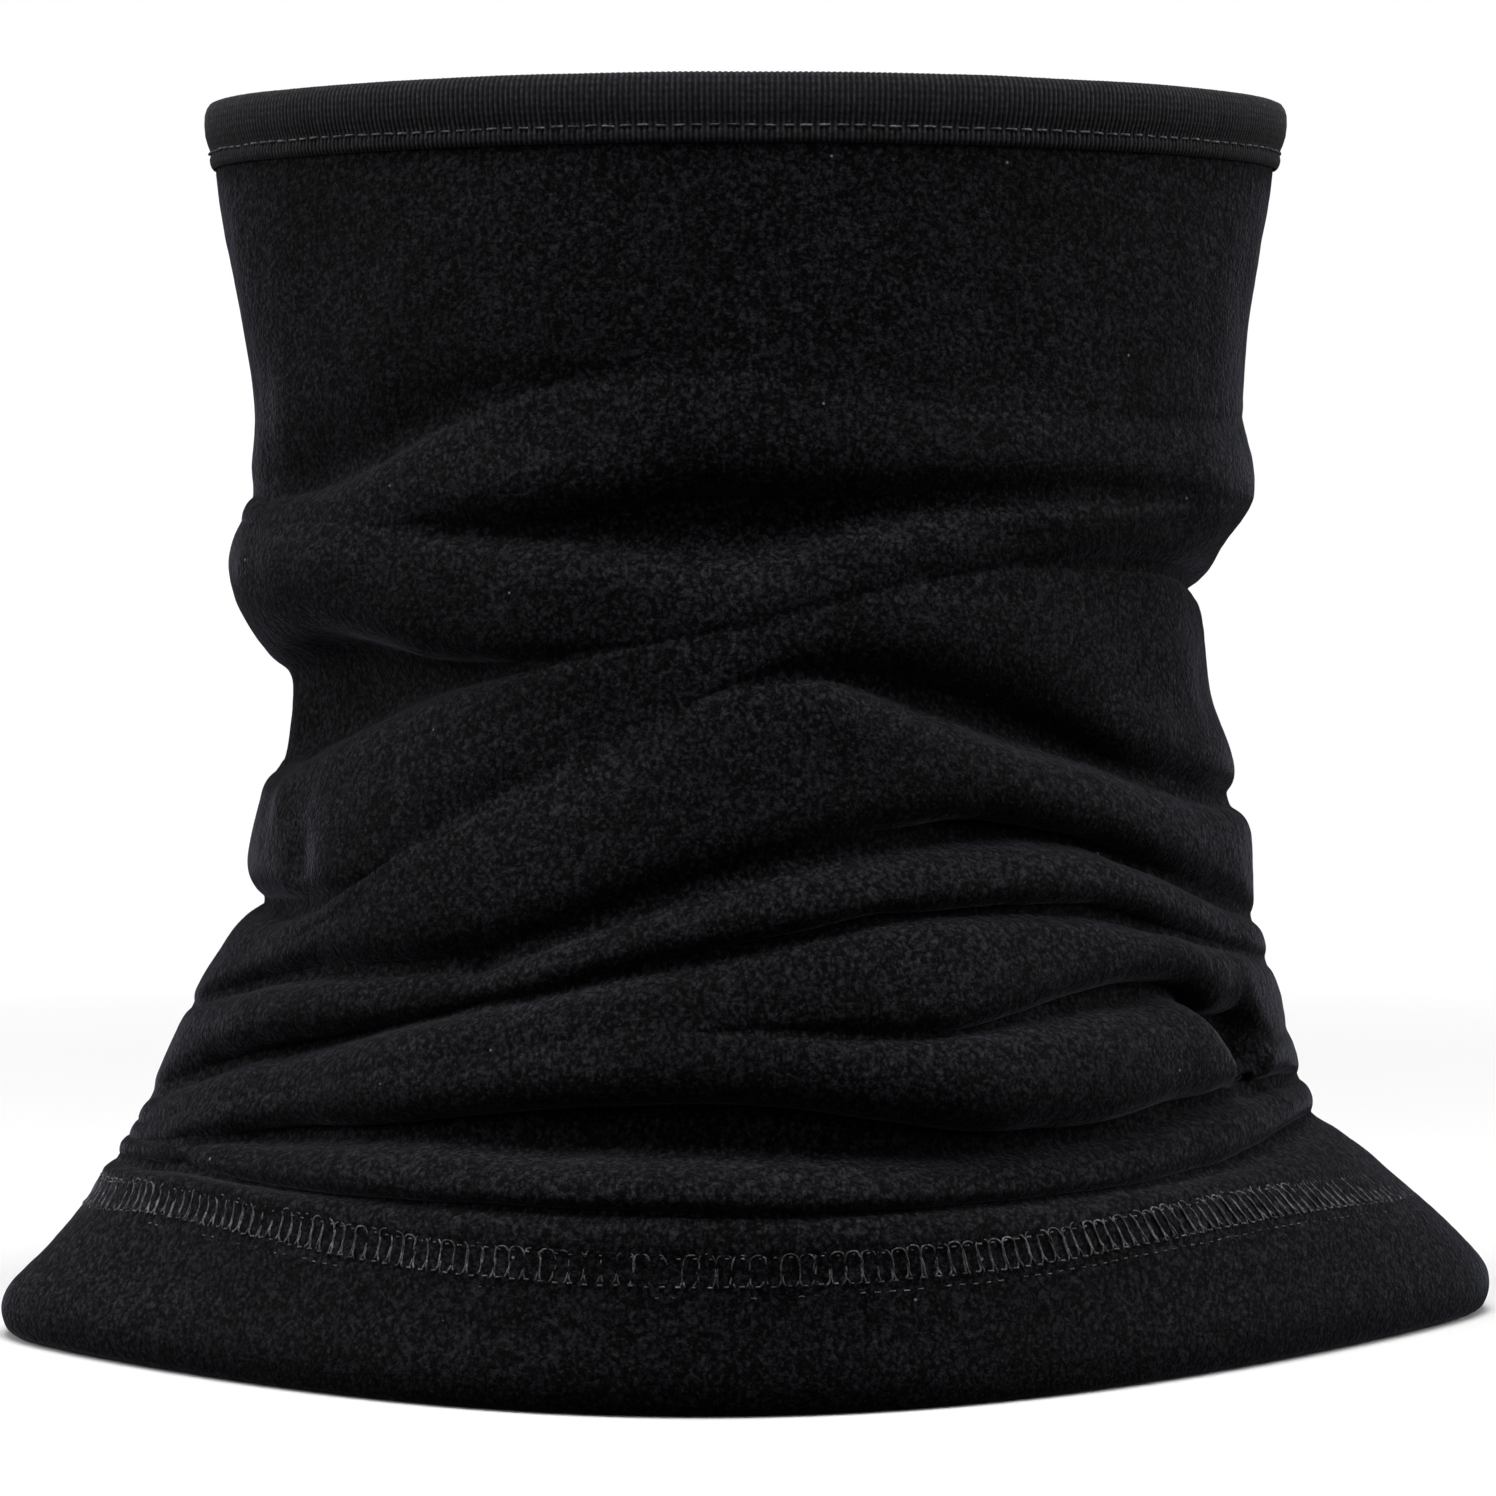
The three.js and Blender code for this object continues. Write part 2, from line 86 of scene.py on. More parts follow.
# The crevices between the folds, from the top down: angle, height, depth, opening.
CREVICES = {
    "brow": [
        [0, 151, 0, 0], [60, 150, 0, 0], [98, 155, 0, 0], [112, 154, 0.8, 0], [122, 151, 2.2, 0],
        [130, 148, 3.5, 0], [138, 144, 4.5, 0], [147, 140.5, 5, 0], [165, 137.5, 2.5, 0],
        [180, 137, 1.0, 0], [205, 138, 1.5, 0], [235, 141, 2.5, 0], [270, 147, 2.5, 0],
        [310, 150, 1, 0]],
    "chin": [
        [0, 134, 0, 0], [20, 135, 0.5, 0], [36, 136, 2, 0], [50, 136.5, 3.5, 0], [62, 136, 4.5, 0],
        [74, 134.5, 6.5, 0.5], [84, 133, 9, 2.5], [95, 132.5, 10, 4], [105, 132, 8, 2],
        [117, 131.5, 6, 0.5], [124, 131.3, 4, 0], [132, 131, 1.2, 0], [142, 131, 0, 0],
        [165, 131, 0, 0], [205, 130, 1, 0], [240, 127, 4, 0], [270, 125, 6, 1], [300, 127, 5, 0],
        [330, 131, 2, 0]],
    "nape": [
        [0, 120, 3, 0], [20, 123, 3, 0], [38, 124.5, 2.5, 0], [55, 125, 1.2, 0], [70, 123, 0.2, 0],
        [85, 120, 0, 0], [103, 115, 0.4, 0], [113, 112.5, 2, 0], [120, 111, 4.5, 0],
        [128, 110, 7.5, 1], [138, 109, 9.5, 5], [150, 107, 10, 10], [165, 102.5, 7.5, 13],
        [180, 99.5, 3.5, 13], [205, 103, 5, 4], [240, 106, 6, 0], [270, 108, 7, 1],
        [300, 110, 6, 0], [330, 114, 4, 0]],
    "throat": [
        [0, 87, 3, 0], [15, 88, 4, 0], [27, 90, 5.5, 0], [36, 92.3, 7, 0], [42, 95, 8, 1],
        [50, 98.3, 9, 3], [56, 100.5, 9, 3.5], [62, 102.8, 8.5, 3], [74, 106, 7, 1.5],
        [82, 107.3, 4, 0.3], [91, 106, 1.2, 0], [104, 98, 0, 0], [128, 84, 0, 0], [140, 76, 1, 0],
        [152, 72, 3.5, 0], [166, 71, 5, 0], [180, 70.5, 4.5, 0], [200, 74, 4, 0], [225, 82, 3, 0],
        [250, 88, 4, 0], [280, 90, 5, 0], [320, 88, 4, 0]],
    "collar": [
        [0, 67, 1.2, 0], [16, 71, 2.5, 0], [35, 78, 5, 0], [48, 83, 7.5, 0.3], [60, 85, 9, 1.2],
        [72, 83.2, 7.5, 0.3], [84, 80, 5.5, 0], [95, 76, 5, 0], [105, 71.5, 5, 0],
        [115, 66.5, 5.5, 0], [124, 63, 6.5, 0.5], [138, 60.5, 6, 0], [155, 58.5, 5, 0],
        [165, 56, 3, 0], [174, 53, 1, 0], [190, 51.5, 1.5, 0], [215, 56, 3.5, 0],
        [240, 61, 5, 0], [270, 66, 5.5, 0], [300, 68, 5, 0], [335, 66, 3, 0]],
    "yoke": [
        [0, 59, 0.8, 0], [18, 63, 1.5, 0], [33, 67, 3, 0], [48, 71.5, 4.5, 0], [62, 73, 5.5, 0],
        [74, 72.5, 5, 0], [84, 70, 4, 0], [94, 67, 4.5, 0], [105, 63.5, 5, 0],
        [115, 59.5, 5.5, 0], [126, 56, 6.5, 0], [140, 51, 6.5, 0], [155, 45.5, 5.5, 0],
        [165, 41, 3.2, 0], [174, 38, 1.2, 0], [188, 37, 1, 0], [210, 42, 3, 0],
        [240, 50, 4.5, 0], [270, 55, 5, 0], [300, 58, 5, 0], [335, 57, 2.5, 0]],
    "lobe": [
        [0, 47.5, 0.3, 0], [12, 47.5, 0.5, 0], [16.5, 48, 2, 1.5], [19.5, 48.6, 6, 5],
        [23, 48.8, 7.5, 5.8], [25, 49.3, 7.6, 5.5], [27, 51.6, 7.5, 3.5], [29, 54.8, 7.5, 1.6],
        [31.5, 57.2, 7.2, 0.6], [36, 58.0, 7, 0.4], [43, 57.7, 7.5, 0.6], [51, 56.8, 7.5, 0.8],
        [60, 55.2, 6.2, 0.4], [69, 53.6, 4.6, 0], [80, 54.2, 2.6, 0], [90, 54.5, 1, 0],
        [100, 54, 0, 0], [120, 49.5, 0, 0], [150, 40.8, 0, 0], [175, 34.5, 0, 0],
        [195, 34.5, 0, 0], [215, 38, 1.5, 0], [240, 42, 3, 0], [270, 45, 3.5, 0],
        [310, 45.5, 3.5, 0], [342, 46, 2, 0]],
    "apron": [
        [0, 38.4, 1, 0], [14, 40, 3, 0], [22, 40.6, 5, 0], [28, 41.2, 5.5, 0],
        [40, 40.8, 6, 0], [54, 38.9, 7, 0], [66, 39.2, 8.5, 0.6], [76, 40.1, 10.5, 1.6],
        [86, 41.2, 11.5, 2.8], [96, 41.7, 11.5, 3.2], [108, 41, 11, 2.8], [120, 40.2, 9, 1.6],
        [131, 38.8, 8, 0.8], [142, 37, 7, 0.4], [150, 34.8, 4, 0], [160, 32.3, 1, 0],
        [178, 31.1, 0.4, 0], [200, 31.8, 1.5, 0], [235, 34.5, 4, 0], [270, 37, 6, 1],
        [305, 38.3, 5, 0], [338, 38.2, 3, 0]],
    "skirt": [
        [0, 31.6, 1, 0], [18, 31.8, 2.4, 0], [30, 31.2, 2.6, 0], [40, 30.5, 2.5, 0],
        [50, 30.3, 2.4, 0], [62, 30.4, 2.3, 0], [70, 30.6, 2.2, 0], [80, 30.8, 2.2, 0],
        [97, 30.8, 2.3, 0], [122, 30.3, 2.8, 0], [137, 30.2, 3, 0], [150, 29.9, 3, 0],
        [160, 28.9, 2.4, 0], [180, 27.8, 1.2, 0], [220, 28.9, 2.6, 0], [270, 29.2, 3, 0],
        [310, 29.9, 3, 0], [340, 30.8, 2, 0]],
}
# how tall the underside above a crevice and the ledge below it are, per mm of depth
UNDERSIDE = (3.0, 1.0, 0.6, 1.0, 1.1, 1.1, 0.7, 0.4, 0.6, 0.6)
LEDGE = (0.9, 0.7, 0.36, 0.6, 0.45, 0.45, 0.5, 0.3, 0.5)
# how far the stitched part of the hem rides up, in mm, at each angle
HEM_WAVE = [
    [0, 1.2], [15, 1.7], [30, 2.8], [40, 3.2], [55, 2.5], [70, 0.9], [95, 0], [116, 0.7],
    [128, 1.9], [140, 3.2], [150, 3.6], [165, 2.4], [180, 1.5], [215, 1.8], [250, 0.2],
    [285, 0.8], [325, 1.8]]
# small hollows: angle, height, half width, half height, depth
DENTS = (
    (151, 80, 5.5, 5.5, 1.5), (160, 88, 5, 3.5, -0.9), (122, 62.5, 4, 2.5, 1.0),
    (66, 46, 9, 5, -1.6), (58, 131, 10, 3, 1.2), (30, 131, 12, 3, 1.6), (79, 101, 12, 5, -1.2),
    (118, 137, 14, 5, -1.6), (100, 122, 16, 6, 1.2), (256, 120, 14, 8, -1.5),
    (290, 75, 12, 6, 1.4))
# rows of mesh on the plain face of each fold, from the top down, and on each rounded side
FACE_ROWS = (5, 7, 12, 12, 4, 5, 4, 3, 2)
QUARTER = 5
TOP_ROWS = 24

# ------------------------------------------------------------------ mesh and cloth simulation
COLUMNS = 240
FINER_U, FINER_V = 4, 3  # refinement round and down the settled cloth
THIN = 2  # every second row and column is simulated
SETTLE_FRAMES = 10
SELF_DISTANCE = 0.0017
RIM_HELD = (165, 181)  # the cloth is held from nothing at the first height to fully at the second
HEM_HELD = (32, 27)
LEAST_HOLD = 0.3
MOST_SLUMP = 3.0  # mm
SLUMP_PASSES = 14  # smoothing that leaves out the fine puckers of the coarse sheet


# ------------------------------------------------------------------ curves
def curve(rows, x, column, period=0.0):
    """A smooth monotone curve through [x, ...values] rows; a period closes it on itself."""
    rows = np.asarray(rows, float)
    xs, ys = rows[:, 0], rows[:, column]
    x = np.asarray(x, float)
    if period:
        xs = np.concatenate([xs[-2:] - period, xs, xs[:3] + period])
        ys = np.concatenate([ys[-2:], ys, ys[:3]])
        first = rows[0, 0]
        x = first + np.mod(x - first, period)
    slopes = np.diff(ys) / np.diff(xs)
    s, t = slopes[:-1], slopes[1:]
    inner = np.where(s * t > 0, 2 * s * t / np.where(s * t > 0, s + t, 1), 0)
    m = np.concatenate([[0], inner, [0]])
    x = np.clip(x, xs[0], xs[-1])
    i = np.clip(np.searchsorted(xs, x, side="right") - 1, 0, len(xs) - 2)
    w = xs[i + 1] - xs[i]
    u = (x - xs[i]) / w
    rise = u * u * (3 - 2 * u)
    return ys[i] + (ys[i + 1] - ys[i]) * rise + w * u * (1 - u) * (m[i] * (1 - u) - m[i + 1] * u)


def on_body(angle, out, z):
    """Points that stand out from the body by so much, in mm, at angles in degrees."""
    t = np.radians(angle)
    z = np.asarray(z, float) + 0 * t
    low = np.clip(1 - z / HEM_REACH, 0, 1)
    low = low * low * (3 - 2 * low)
    pinch = PINCH + (HEM_PINCH - PINCH) * low
    reach_x = np.where(np.cos(t) < 0, curve(BODY, z, 1), curve(BODY, z, 2))
    reach_y = np.where(np.sin(t) > 0, curve(BODY, z, 3), curve(BODY, z, 4))
    x = reach_x * np.cos(t)
    y = -reach_y * ((1 - pinch) * np.sin(t) - pinch * np.sin(3 * t)) + HEM_SKEW * low * x
    ax = -reach_x * np.sin(t)
    ay = -reach_y * ((1 - pinch) * np.cos(t) - 3 * pinch * np.cos(3 * t)) + HEM_SKEW * low * ax
    length = np.hypot(ax, ay)
    return np.stack([x - out * ay / length, y + out * ax / length, z + 0 * x], -1)


def hem_lift(angle, z):
    """How far the hem's wave lifts a height: not at all at the floor, fully at the stitching."""
    rise = np.clip((z - HEM_STILL) / (HEM_RIDES - HEM_STILL), 0, 1)
    return curve(HEM_WAVE, angle, 1, 360) * rise * rise * (3 - 2 * rise)


def on_hem(angle, out, z):
    """The same for a height measured along the hem, whose stitched part rides up in a wave."""
    z = np.asarray(z, float) + 0 * angle
    return on_body(angle, out, z + hem_lift(angle + 0 * z, z))


def noise(points, cell, seed, tall=1.0):
    """Smooth value noise in -1..1 at points in mm; tall stretches the cells upwards."""
    size = 96
    table = np.random.default_rng(seed).uniform(-1, 1, (size, size, size)).astype(np.float32)
    p = points / cell + 400
    p = np.stack([p[..., 0], p[..., 1], (p[..., 2] - 400) / tall + 400], -1)
    i = np.floor(p).astype(int)
    f = p - i
    f = f * f * (3 - 2 * f)
    value = 0
    for corner in range(8):
        step = np.array([corner & 1, corner >> 1 & 1, corner >> 2 & 1])
        weight = np.prod(np.where(step, f, 1 - f), -1)
        j = (i + step) % size
        value = value + weight * table[j[..., 0], j[..., 1], j[..., 2]]
    return value


# ------------------------------------------------------------------ the cloth's middle surface
def fold_lines(angle):
    """Height, depth and opening in the cloth's middle layer of every crevice, and of the hem's top."""
    lines = []
    for rows in CREVICES.values():
        z = curve(rows, angle, 1, 360)
        depth = np.maximum(0, curve(rows, angle, 2, 360))
        gap = np.maximum(0.3, curve(rows, angle, 3, 360)) + FLEECE
        lines.append((z - SINK * depth, depth, gap * np.clip(depth / 2.5, 0.12, 1)))
    wave = curve(HEM_WAVE, angle, 1, 360)
    lines.append((HEM_HEIGHT + wave, HEM_CREASE + 0 * angle, 0.4 + 0 * angle))
    return lines


def shoulder(depth, a, blunt=0.0):
    """How far in and how far along the side of a fold is, 0 at the crest: a soft wave
    where the crevice is shallow, a parabola under the fold, a round lip where it is deep."""
    clear = np.clip((depth - 0.5) / 3.0, 0, 1)
    clear = clear * clear * (3 - 2 * clear)
    lip = np.clip((depth - blunt) / 4.0, 0, 1)
    s = a / (math.pi / 2)
    inward = lip * (1 - math.cos(a)) + (1 - lip) * s * s
    onward = lip * math.sin(a) + (1 - lip) * s
    inward = clear * inward + (1 - clear) * (1 - math.cos(math.pi * s)) / 2
    return inward, clear * onward + (1 - clear) * s


def hem_rows():
    """out and z of the hem's rows: stitched channel, face, folded edge and the lap up the inside."""
    rows = [(-HEM_CHANNEL, z) for z in (22.4, 21.2, 19.8, 18.2, 16.6)]
    rows += [(-0.2, 15)] + [(0, z) for z in (13.6, 12, 10.4, 8.8, 7.2, 5.6, 4.2, 3.0)]
    lap = -2 * (FLEECE / 2 + 0.15)
    tight = 0.55
    for a in np.linspace(0, math.pi / 2, 4):
        rows.append((-tight * (1 - math.cos(a)), FLEECE / 2 + tight * (1 - math.sin(a))))
    for a in np.linspace(math.pi / 2, 0, 4):
        rows.append((lap + tight * (1 - math.cos(a)), FLEECE / 2 + tight * (1 - math.sin(a))))
    rows += [(lap, z) for z in np.linspace(3.6, 14, 7)]
    rows += [(lap - HEM_CHANNEL, z) for z in np.linspace(16, HEM_HEIGHT - 0.6, 6)]
    return rows


def cloth_rows(angle):
    """out and z of every mesh row of the cloth's middle layer, from the rim to the hem's lap."""
    lines = fold_lines(angle)
    turn = np.linspace(0, math.pi / 2, QUARTER + 1)
    out, high = [], []

    def add(o, z, sag=0.0):
        out.append(o - FLEECE / 2 + 0 * angle)
        high.append(z - sag * o + 0 * angle)

    # the plain top, down to the first crevice
    z0, d0, g0 = lines[0]
    foot = z0 + g0 / 2
    low = UNDERSIDE[0] * d0 + 3.0
    edge = HEIGHT - BIND_THICK - AIR
    for k in range(TOP_ROWS):
        add(0, edge + (foot + low - edge) * k / TOP_ROWS)
    for a in turn:
        inward, onward = shoulder(d0, a, 5.0)
        add(-d0 * inward, foot + low * (1 - onward), SAG)
    # each crevice, the ledge below it, the face of the next fold and its underside
    factors = zip(FACE_ROWS, LEDGE, UNDERSIDE[1:])
    for (za, da, ga), (zb, db, gb), (face, ledge, under) in zip(lines, lines[1:], factors):
        top = za - ga / 2
        bottom = np.minimum(zb + gb / 2, top - 0.8)
        tall = top - bottom
        part = da / (da + db + 0.01)
        upper = np.minimum((0.08 + 0.8 * part) * tall, ledge * da + 1.4)
        lower = np.minimum((0.88 - 0.8 * part) * tall, under * db + 1.8)
        # a fold too thin for its crevices stands back between them
        thin = np.clip(tall / (0.9 * np.minimum(da, db) + 3.0), 0, 1)
        back = (1 - thin) * np.minimum(da, db)
        for k in (1 / 3, 2 / 3):
            add(-da, za + ga / 2 - ga * k, SAG * (1 - k))
        for a in turn[::-1]:
            inward, onward = shoulder(da, a, -3.5)
            add(-back - (da - back) * inward, top - upper * (1 - onward))
        crest, skirt = top - upper, bottom + lower
        swell = 0.045 * (crest - skirt)
        for k in range(1, face + 1):
            s = k / (face + 1)
            add(swell * math.sin(math.pi * s) - back, crest + (skirt - crest) * s)
        for a in turn:
            inward, onward = shoulder(db, a, 5.0)
            add(-back - (db - back) * inward, bottom + lower * (1 - onward), SAG * inward)
    for o, z in hem_rows():
        add(o, z)
        high[-1] = high[-1] + hem_lift(angle, high[-1])
    return np.array(out), np.array(high)


def cloth_grid(columns):
    """Middle of the cloth as rows x columns x 3 points in mm."""
    angle = np.arange(columns) * 360.0 / columns
    out, high = cloth_rows(angle)
    grid = on_body(angle[None, :] + 0 * out, out, high)
    grid[1:-1] = 0.5 * grid[1:-1] + 0.25 * (grid[:-2] + grid[2:])
    return spread(grid)


def spread(grid):
    """Slides the rows along the cloth so that none crowd together; the shape stays."""
    step = np.linalg.norm(np.diff(grid, axis=0), axis=-1)
    length = np.concatenate([np.zeros((1, grid.shape[1])), np.cumsum(step, 0)])
    place = length.copy()
    for _ in range(30):
        place[1:-1] = 0.5 * place[1:-1] + 0.25 * (place[:-2] + place[2:])
    moved = [np.stack([np.interp(place[:, c], length[:, c], grid[:, c, k]) for k in range(3)], -1)
             for c in range(grid.shape[1])]
    return np.stack(moved, 1)


def unfold(layer, sheet):
    """Relaxes one face of the cloth where its distance from the middle made it fold over."""
    for _ in range(14):
        along = (np.diff(layer, axis=0) * np.diff(sheet, axis=0)).sum(-1)
        bad = along < 0.2 * (np.diff(sheet, axis=0) ** 2).sum(-1)
        near = np.zeros(layer.shape[:2])
        near[:-1] += bad
        near[1:] += bad
        for axis in (0, 0, 1, 1):
            near = np.maximum(near, 0.75 * np.maximum(np.roll(near, 1, axis), np.roll(near, -1, axis)))
        near[[0, -1]] = 0
        blend = np.clip(near, 0, 1)[..., None]
        eased = layer.copy()
        eased[1:-1] = 0.5 * layer[1:-1] + 0.25 * (layer[:-2] + layer[2:])
        layer = layer + (eased - layer) * blend
    return layer


def mesh_of(name, points, faces):
    """A new smooth object from points in mm and one or more arrays of faces."""
    mesh = bpy.data.meshes.new(name)
    points = np.asarray(points, float)
    mesh.vertices.add(len(points))
    mesh.vertices.foreach_set("co", (points * MM).astype(np.float32).ravel())
    groups = faces if isinstance(faces, list) else [faces]
    sizes = np.concatenate([np.full(len(g), g.shape[1], np.int32) for g in groups])
    flat = np.concatenate([g.ravel() for g in groups]).astype(np.int32)
    mesh.loops.add(len(flat))
    mesh.loops.foreach_set("vertex_index", flat)
    mesh.polygons.add(len(sizes))
    starts = np.concatenate([[0], np.cumsum(sizes)[:-1]]).astype(np.int32)
    mesh.polygons.foreach_set("loop_start", starts)
    mesh.update(calc_edges=True)
    mesh.validate()
    mesh.polygons.foreach_set("use_smooth", np.full(len(mesh.polygons), True))
    obj = bpy.data.objects.new(name, mesh)
    bpy.context.scene.collection.objects.link(obj)
    return obj


def sheet_faces(rows, columns, offset=0, flip=False):
    """Quads of a grid of rows x columns that closes round on itself."""
    r = np.arange(rows - 1)[:, None] * columns
    c = np.arange(columns)[None, :]
    n = (c + 1) % columns
    quads = np.stack([r + c, r + columns + c, r + columns + n, r + n], -1).reshape(-1, 4) + offset
    return quads[:, ::-1] if flip else quads


def finer_round(grid, factor):
    """Catmull-Rom refinement round the tube."""
    before, after, beyond = np.roll(grid, 1, 1), np.roll(grid, -1, 1), np.roll(grid, -2, 1)
    parts = [grid]
    for k in range(1, factor):
        t = k / factor
        parts.append(0.5 * (2 * grid + (after - before) * t
                            + (2 * before - 5 * grid + 4 * after - beyond) * t * t
                            + (3 * grid - before - 3 * after + beyond) * t ** 3))
    return np.stack(parts, 2).reshape(grid.shape[0], -1, 3)


def finer_down(grid, factor):
    """Monotone refinement down the cloth, which can't overshoot where rows crowd together."""
    step = np.diff(grid, axis=0)
    s, t = step[:-1], step[1:]
    same = s * t > 0
    m = np.where(same, 2 * s * t / np.where(same, s + t, 1), 0)
    m = np.concatenate([step[:1], m, step[-1:]])
    parts = []
    for k in range(factor):
        u = k / factor
        rise = u * u * (3 - 2 * u)
        parts.append(grid[:-1] + step * rise + u * (1 - u) * (m[:-1] * (1 - u) - m[1:] * u))
    fine = np.stack(parts, 1).reshape(-1, grid.shape[1], 3)
    return np.concatenate([fine, grid[-1:]])


def normals_of(grid):
    """Outward unit normals of a grid that runs from the rim down the outside."""
    around = np.roll(grid, -1, 1) - np.roll(grid, 1, 1)
    down = np.empty_like(grid)
    down[1:-1] = grid[2:] - grid[:-2]
    down[0], down[-1] = grid[1] - grid[0], grid[-1] - grid[-2]
    n = np.cross(around, down)
    n /= np.maximum(1e-9, np.linalg.norm(n, axis=-1, keepdims=True))
    return n


# ------------------------------------------------------------------ cloth simulation
def settle(grid):
    """Lets the folded sheet slump under its own weight, held at the rim and at the hem.

    Only the broad slump is kept, so the fine puckers of the coarse sheet stay out."""
    coarse = grid[::THIN, ::THIN]
    rows, columns = coarse.shape[:2]
    sheet = mesh_of("settling", coarse.reshape(-1, 3), sheet_faces(rows, columns))
    z = coarse[..., 2]
    group = sheet.vertex_groups.new(name="hold")
    top = np.clip((z - RIM_HELD[0]) / (RIM_HELD[1] - RIM_HELD[0]), 0, 1)
    foot = np.clip((HEM_HELD[0] - z) / (HEM_HELD[0] - HEM_HELD[1]), 0, 1)
    hold = np.maximum(LEAST_HOLD, np.maximum(top, foot)).ravel()
    for i, w in enumerate(hold):
        group.add([i], float(w), "REPLACE")
    cloth = sheet.modifiers.new("Cloth", "CLOTH")
    s = cloth.settings
    s.quality = 4
    s.mass = 0.0006
    s.effector_weights.gravity = 0.25  # a fraction of its weight: the pile holds the folds up
    s.tension_stiffness = s.compression_stiffness = 12
    s.shear_stiffness = 6
    s.bending_stiffness = 0.6
    s.tension_damping = s.compression_damping = s.shear_damping = 8
    s.bending_damping = 2
    s.air_damping = 4
    s.vertex_group_mass = "hold"
    s.pin_stiffness = 1.0
    s.shrink_min = -0.01
    c = cloth.collision_settings
    c.use_collision = False
    c.use_self_collision = True
    c.self_distance_min = SELF_DISTANCE
    c.self_friction = 8
    c.collision_quality = 2
    cloth.point_cache.frame_start, cloth.point_cache.frame_end = 1, SETTLE_FRAMES + 2
    scene = bpy.context.scene
    for f in range(1, SETTLE_FRAMES + 1):
        scene.frame_set(f)
    bpy.context.view_layer.objects.active = sheet
    sheet.select_set(True)
    bpy.ops.object.modifier_apply(modifier=cloth.name)
    co = np.empty(rows * columns * 3, np.float32)
    sheet.data.vertices.foreach_get("co", co)
    scene.frame_set(1)
    bpy.data.objects.remove(sheet)
    step = co.reshape(rows, columns, 3).astype(float) / MM - coarse
    length = np.linalg.norm(step, axis=-1, keepdims=True)
    print("settled: mean move %.2f mm, most %.2f mm" % (length.mean(), length.max()))
    step *= np.minimum(1, MOST_SLUMP / np.maximum(length, 1e-6))
    for _ in range(SLUMP_PASSES):
        step = 0.5 * step + 0.25 * (np.roll(step, 1, 1) + np.roll(step, -1, 1))
        step[1:-1] = 0.5 * step[1:-1] + 0.25 * (step[:-2] + step[2:])
    fine = finer_down(finer_round(step, THIN), THIN)
    extra = grid.shape[0] - fine.shape[0]
    if extra:
        fine = np.concatenate([fine, np.repeat(fine[-1:], extra, 0)])
    return grid + fine


def dents(grid):
    """Small hollows and swellings that no crevice line describes."""
    angle = np.arange(grid.shape[1]) * 360.0 / grid.shape[1]
    n = normals_of(grid)
    move = 0
    outside = np.arange(grid.shape[0])[:, None] < np.argmin(grid[..., 2], 0)
    for at, high, wide, tall, depth in DENTS:
        across = ((angle - at + 180) % 360 - 180) * math.pi / 180 * MEAN_RADIUS
        far = (across[None] / wide) ** 2 + ((grid[..., 2] - high) / tall) ** 2
        move = move - depth * np.exp(-far) * outside
    return grid + n * move[..., None]


middle = dents(cloth_grid(COLUMNS))
middle = settle(middle)
middle = finer_down(finer_round(middle, FINER_U), FINER_V)
for _ in range(3):
    middle[1:-1] = 0.5 * middle[1:-1] + 0.25 * (middle[:-2] + middle[2:])
rows, columns = middle.shape[:2]

# ------------------------------------------------------------------ cloth coordinates
ROUND = 600.0  # nominal length round the body, in mm
angle_of = np.arange(columns) * 360.0 / columns
face_normal = normals_of(middle)

# soft unevenness of the sheet itself, calm at the hem and at the rim
wave = 0.6 * noise(middle, 30, 3) + 0.35 * noise(middle, 14, 4) + 0.14 * noise(middle, 6, 5)
calm = np.clip((middle[..., 2] - 26) / 8, 0, 1) * np.clip((190 - middle[..., 2]) / 10, 0, 1)
middle = middle + face_normal * (wave * calm)[..., None]
face_normal = normals_of(middle)

# the pile: tufts one to two millimetres across, standing on both faces
tuft = 0.03 * noise(middle, 2.2, 11, 1.4) + 0.05 * noise(middle, 1.3, 12, 1.3)
under_bind = middle[..., 2] > HEIGHT - BIND_WIDTH - 0.2
half = FLEECE / 2 + np.where(under_bind, 0, tuft)
seam = np.abs((angle_of[None, :] - SEAM_ANGLE + 180) % 360 - 180) * ROUND / 360 + np.zeros((rows, 1))
groove = 0.9 * np.exp(-(seam / 1.3) ** 2) * (middle[..., 2] < HEIGHT - BIND_WIDTH)
outer = unfold(middle + face_normal * (half - groove)[..., None], middle)
allowance = 2.2 * np.clip((3.4 - seam) / 0.9, 0, 1) * calm
inner = unfold(middle - face_normal * (half + allowance)[..., None], middle)
inner = inner[::2, ::2] if rows % 2 else np.concatenate([inner[:-1:2, ::2], inner[-1:, ::2]])

points = np.concatenate([outer.reshape(-1, 3), inner.reshape(-1, 3)])
base = rows * columns
rows_in, columns_in = inner.shape[:2]


def bridge(outer_row, inner_row, flip):
    """Five-sided faces that close the sheet along one edge."""
    i = np.arange(columns_in)
    o = outer_row * columns + 2 * i
    n = outer_row * columns + (2 * i + 2) % columns
    a = base + inner_row * columns_in + i
    b = base + inner_row * columns_in + (i + 1) % columns_in
    five = np.stack([o, o + 1, n, b, a], -1)
    return five[:, ::-1] if flip else five


fleece = mesh_of("fleece", points, [
    sheet_faces(rows, columns),
    sheet_faces(rows_in, columns_in, base, True),
    bridge(0, 0, False),
    bridge(rows - 1, rows_in - 1, True)])


def store(obj, name, values):
    """Keeps a vector in mm at every point of a mesh, in metres, for its material to read."""
    layer = obj.data.attributes.new(name, "FLOAT_VECTOR", "POINT")
    layer.data.foreach_set("vector", (values * MM).astype(np.float32).ravel())


store(fleece, "grain", points)


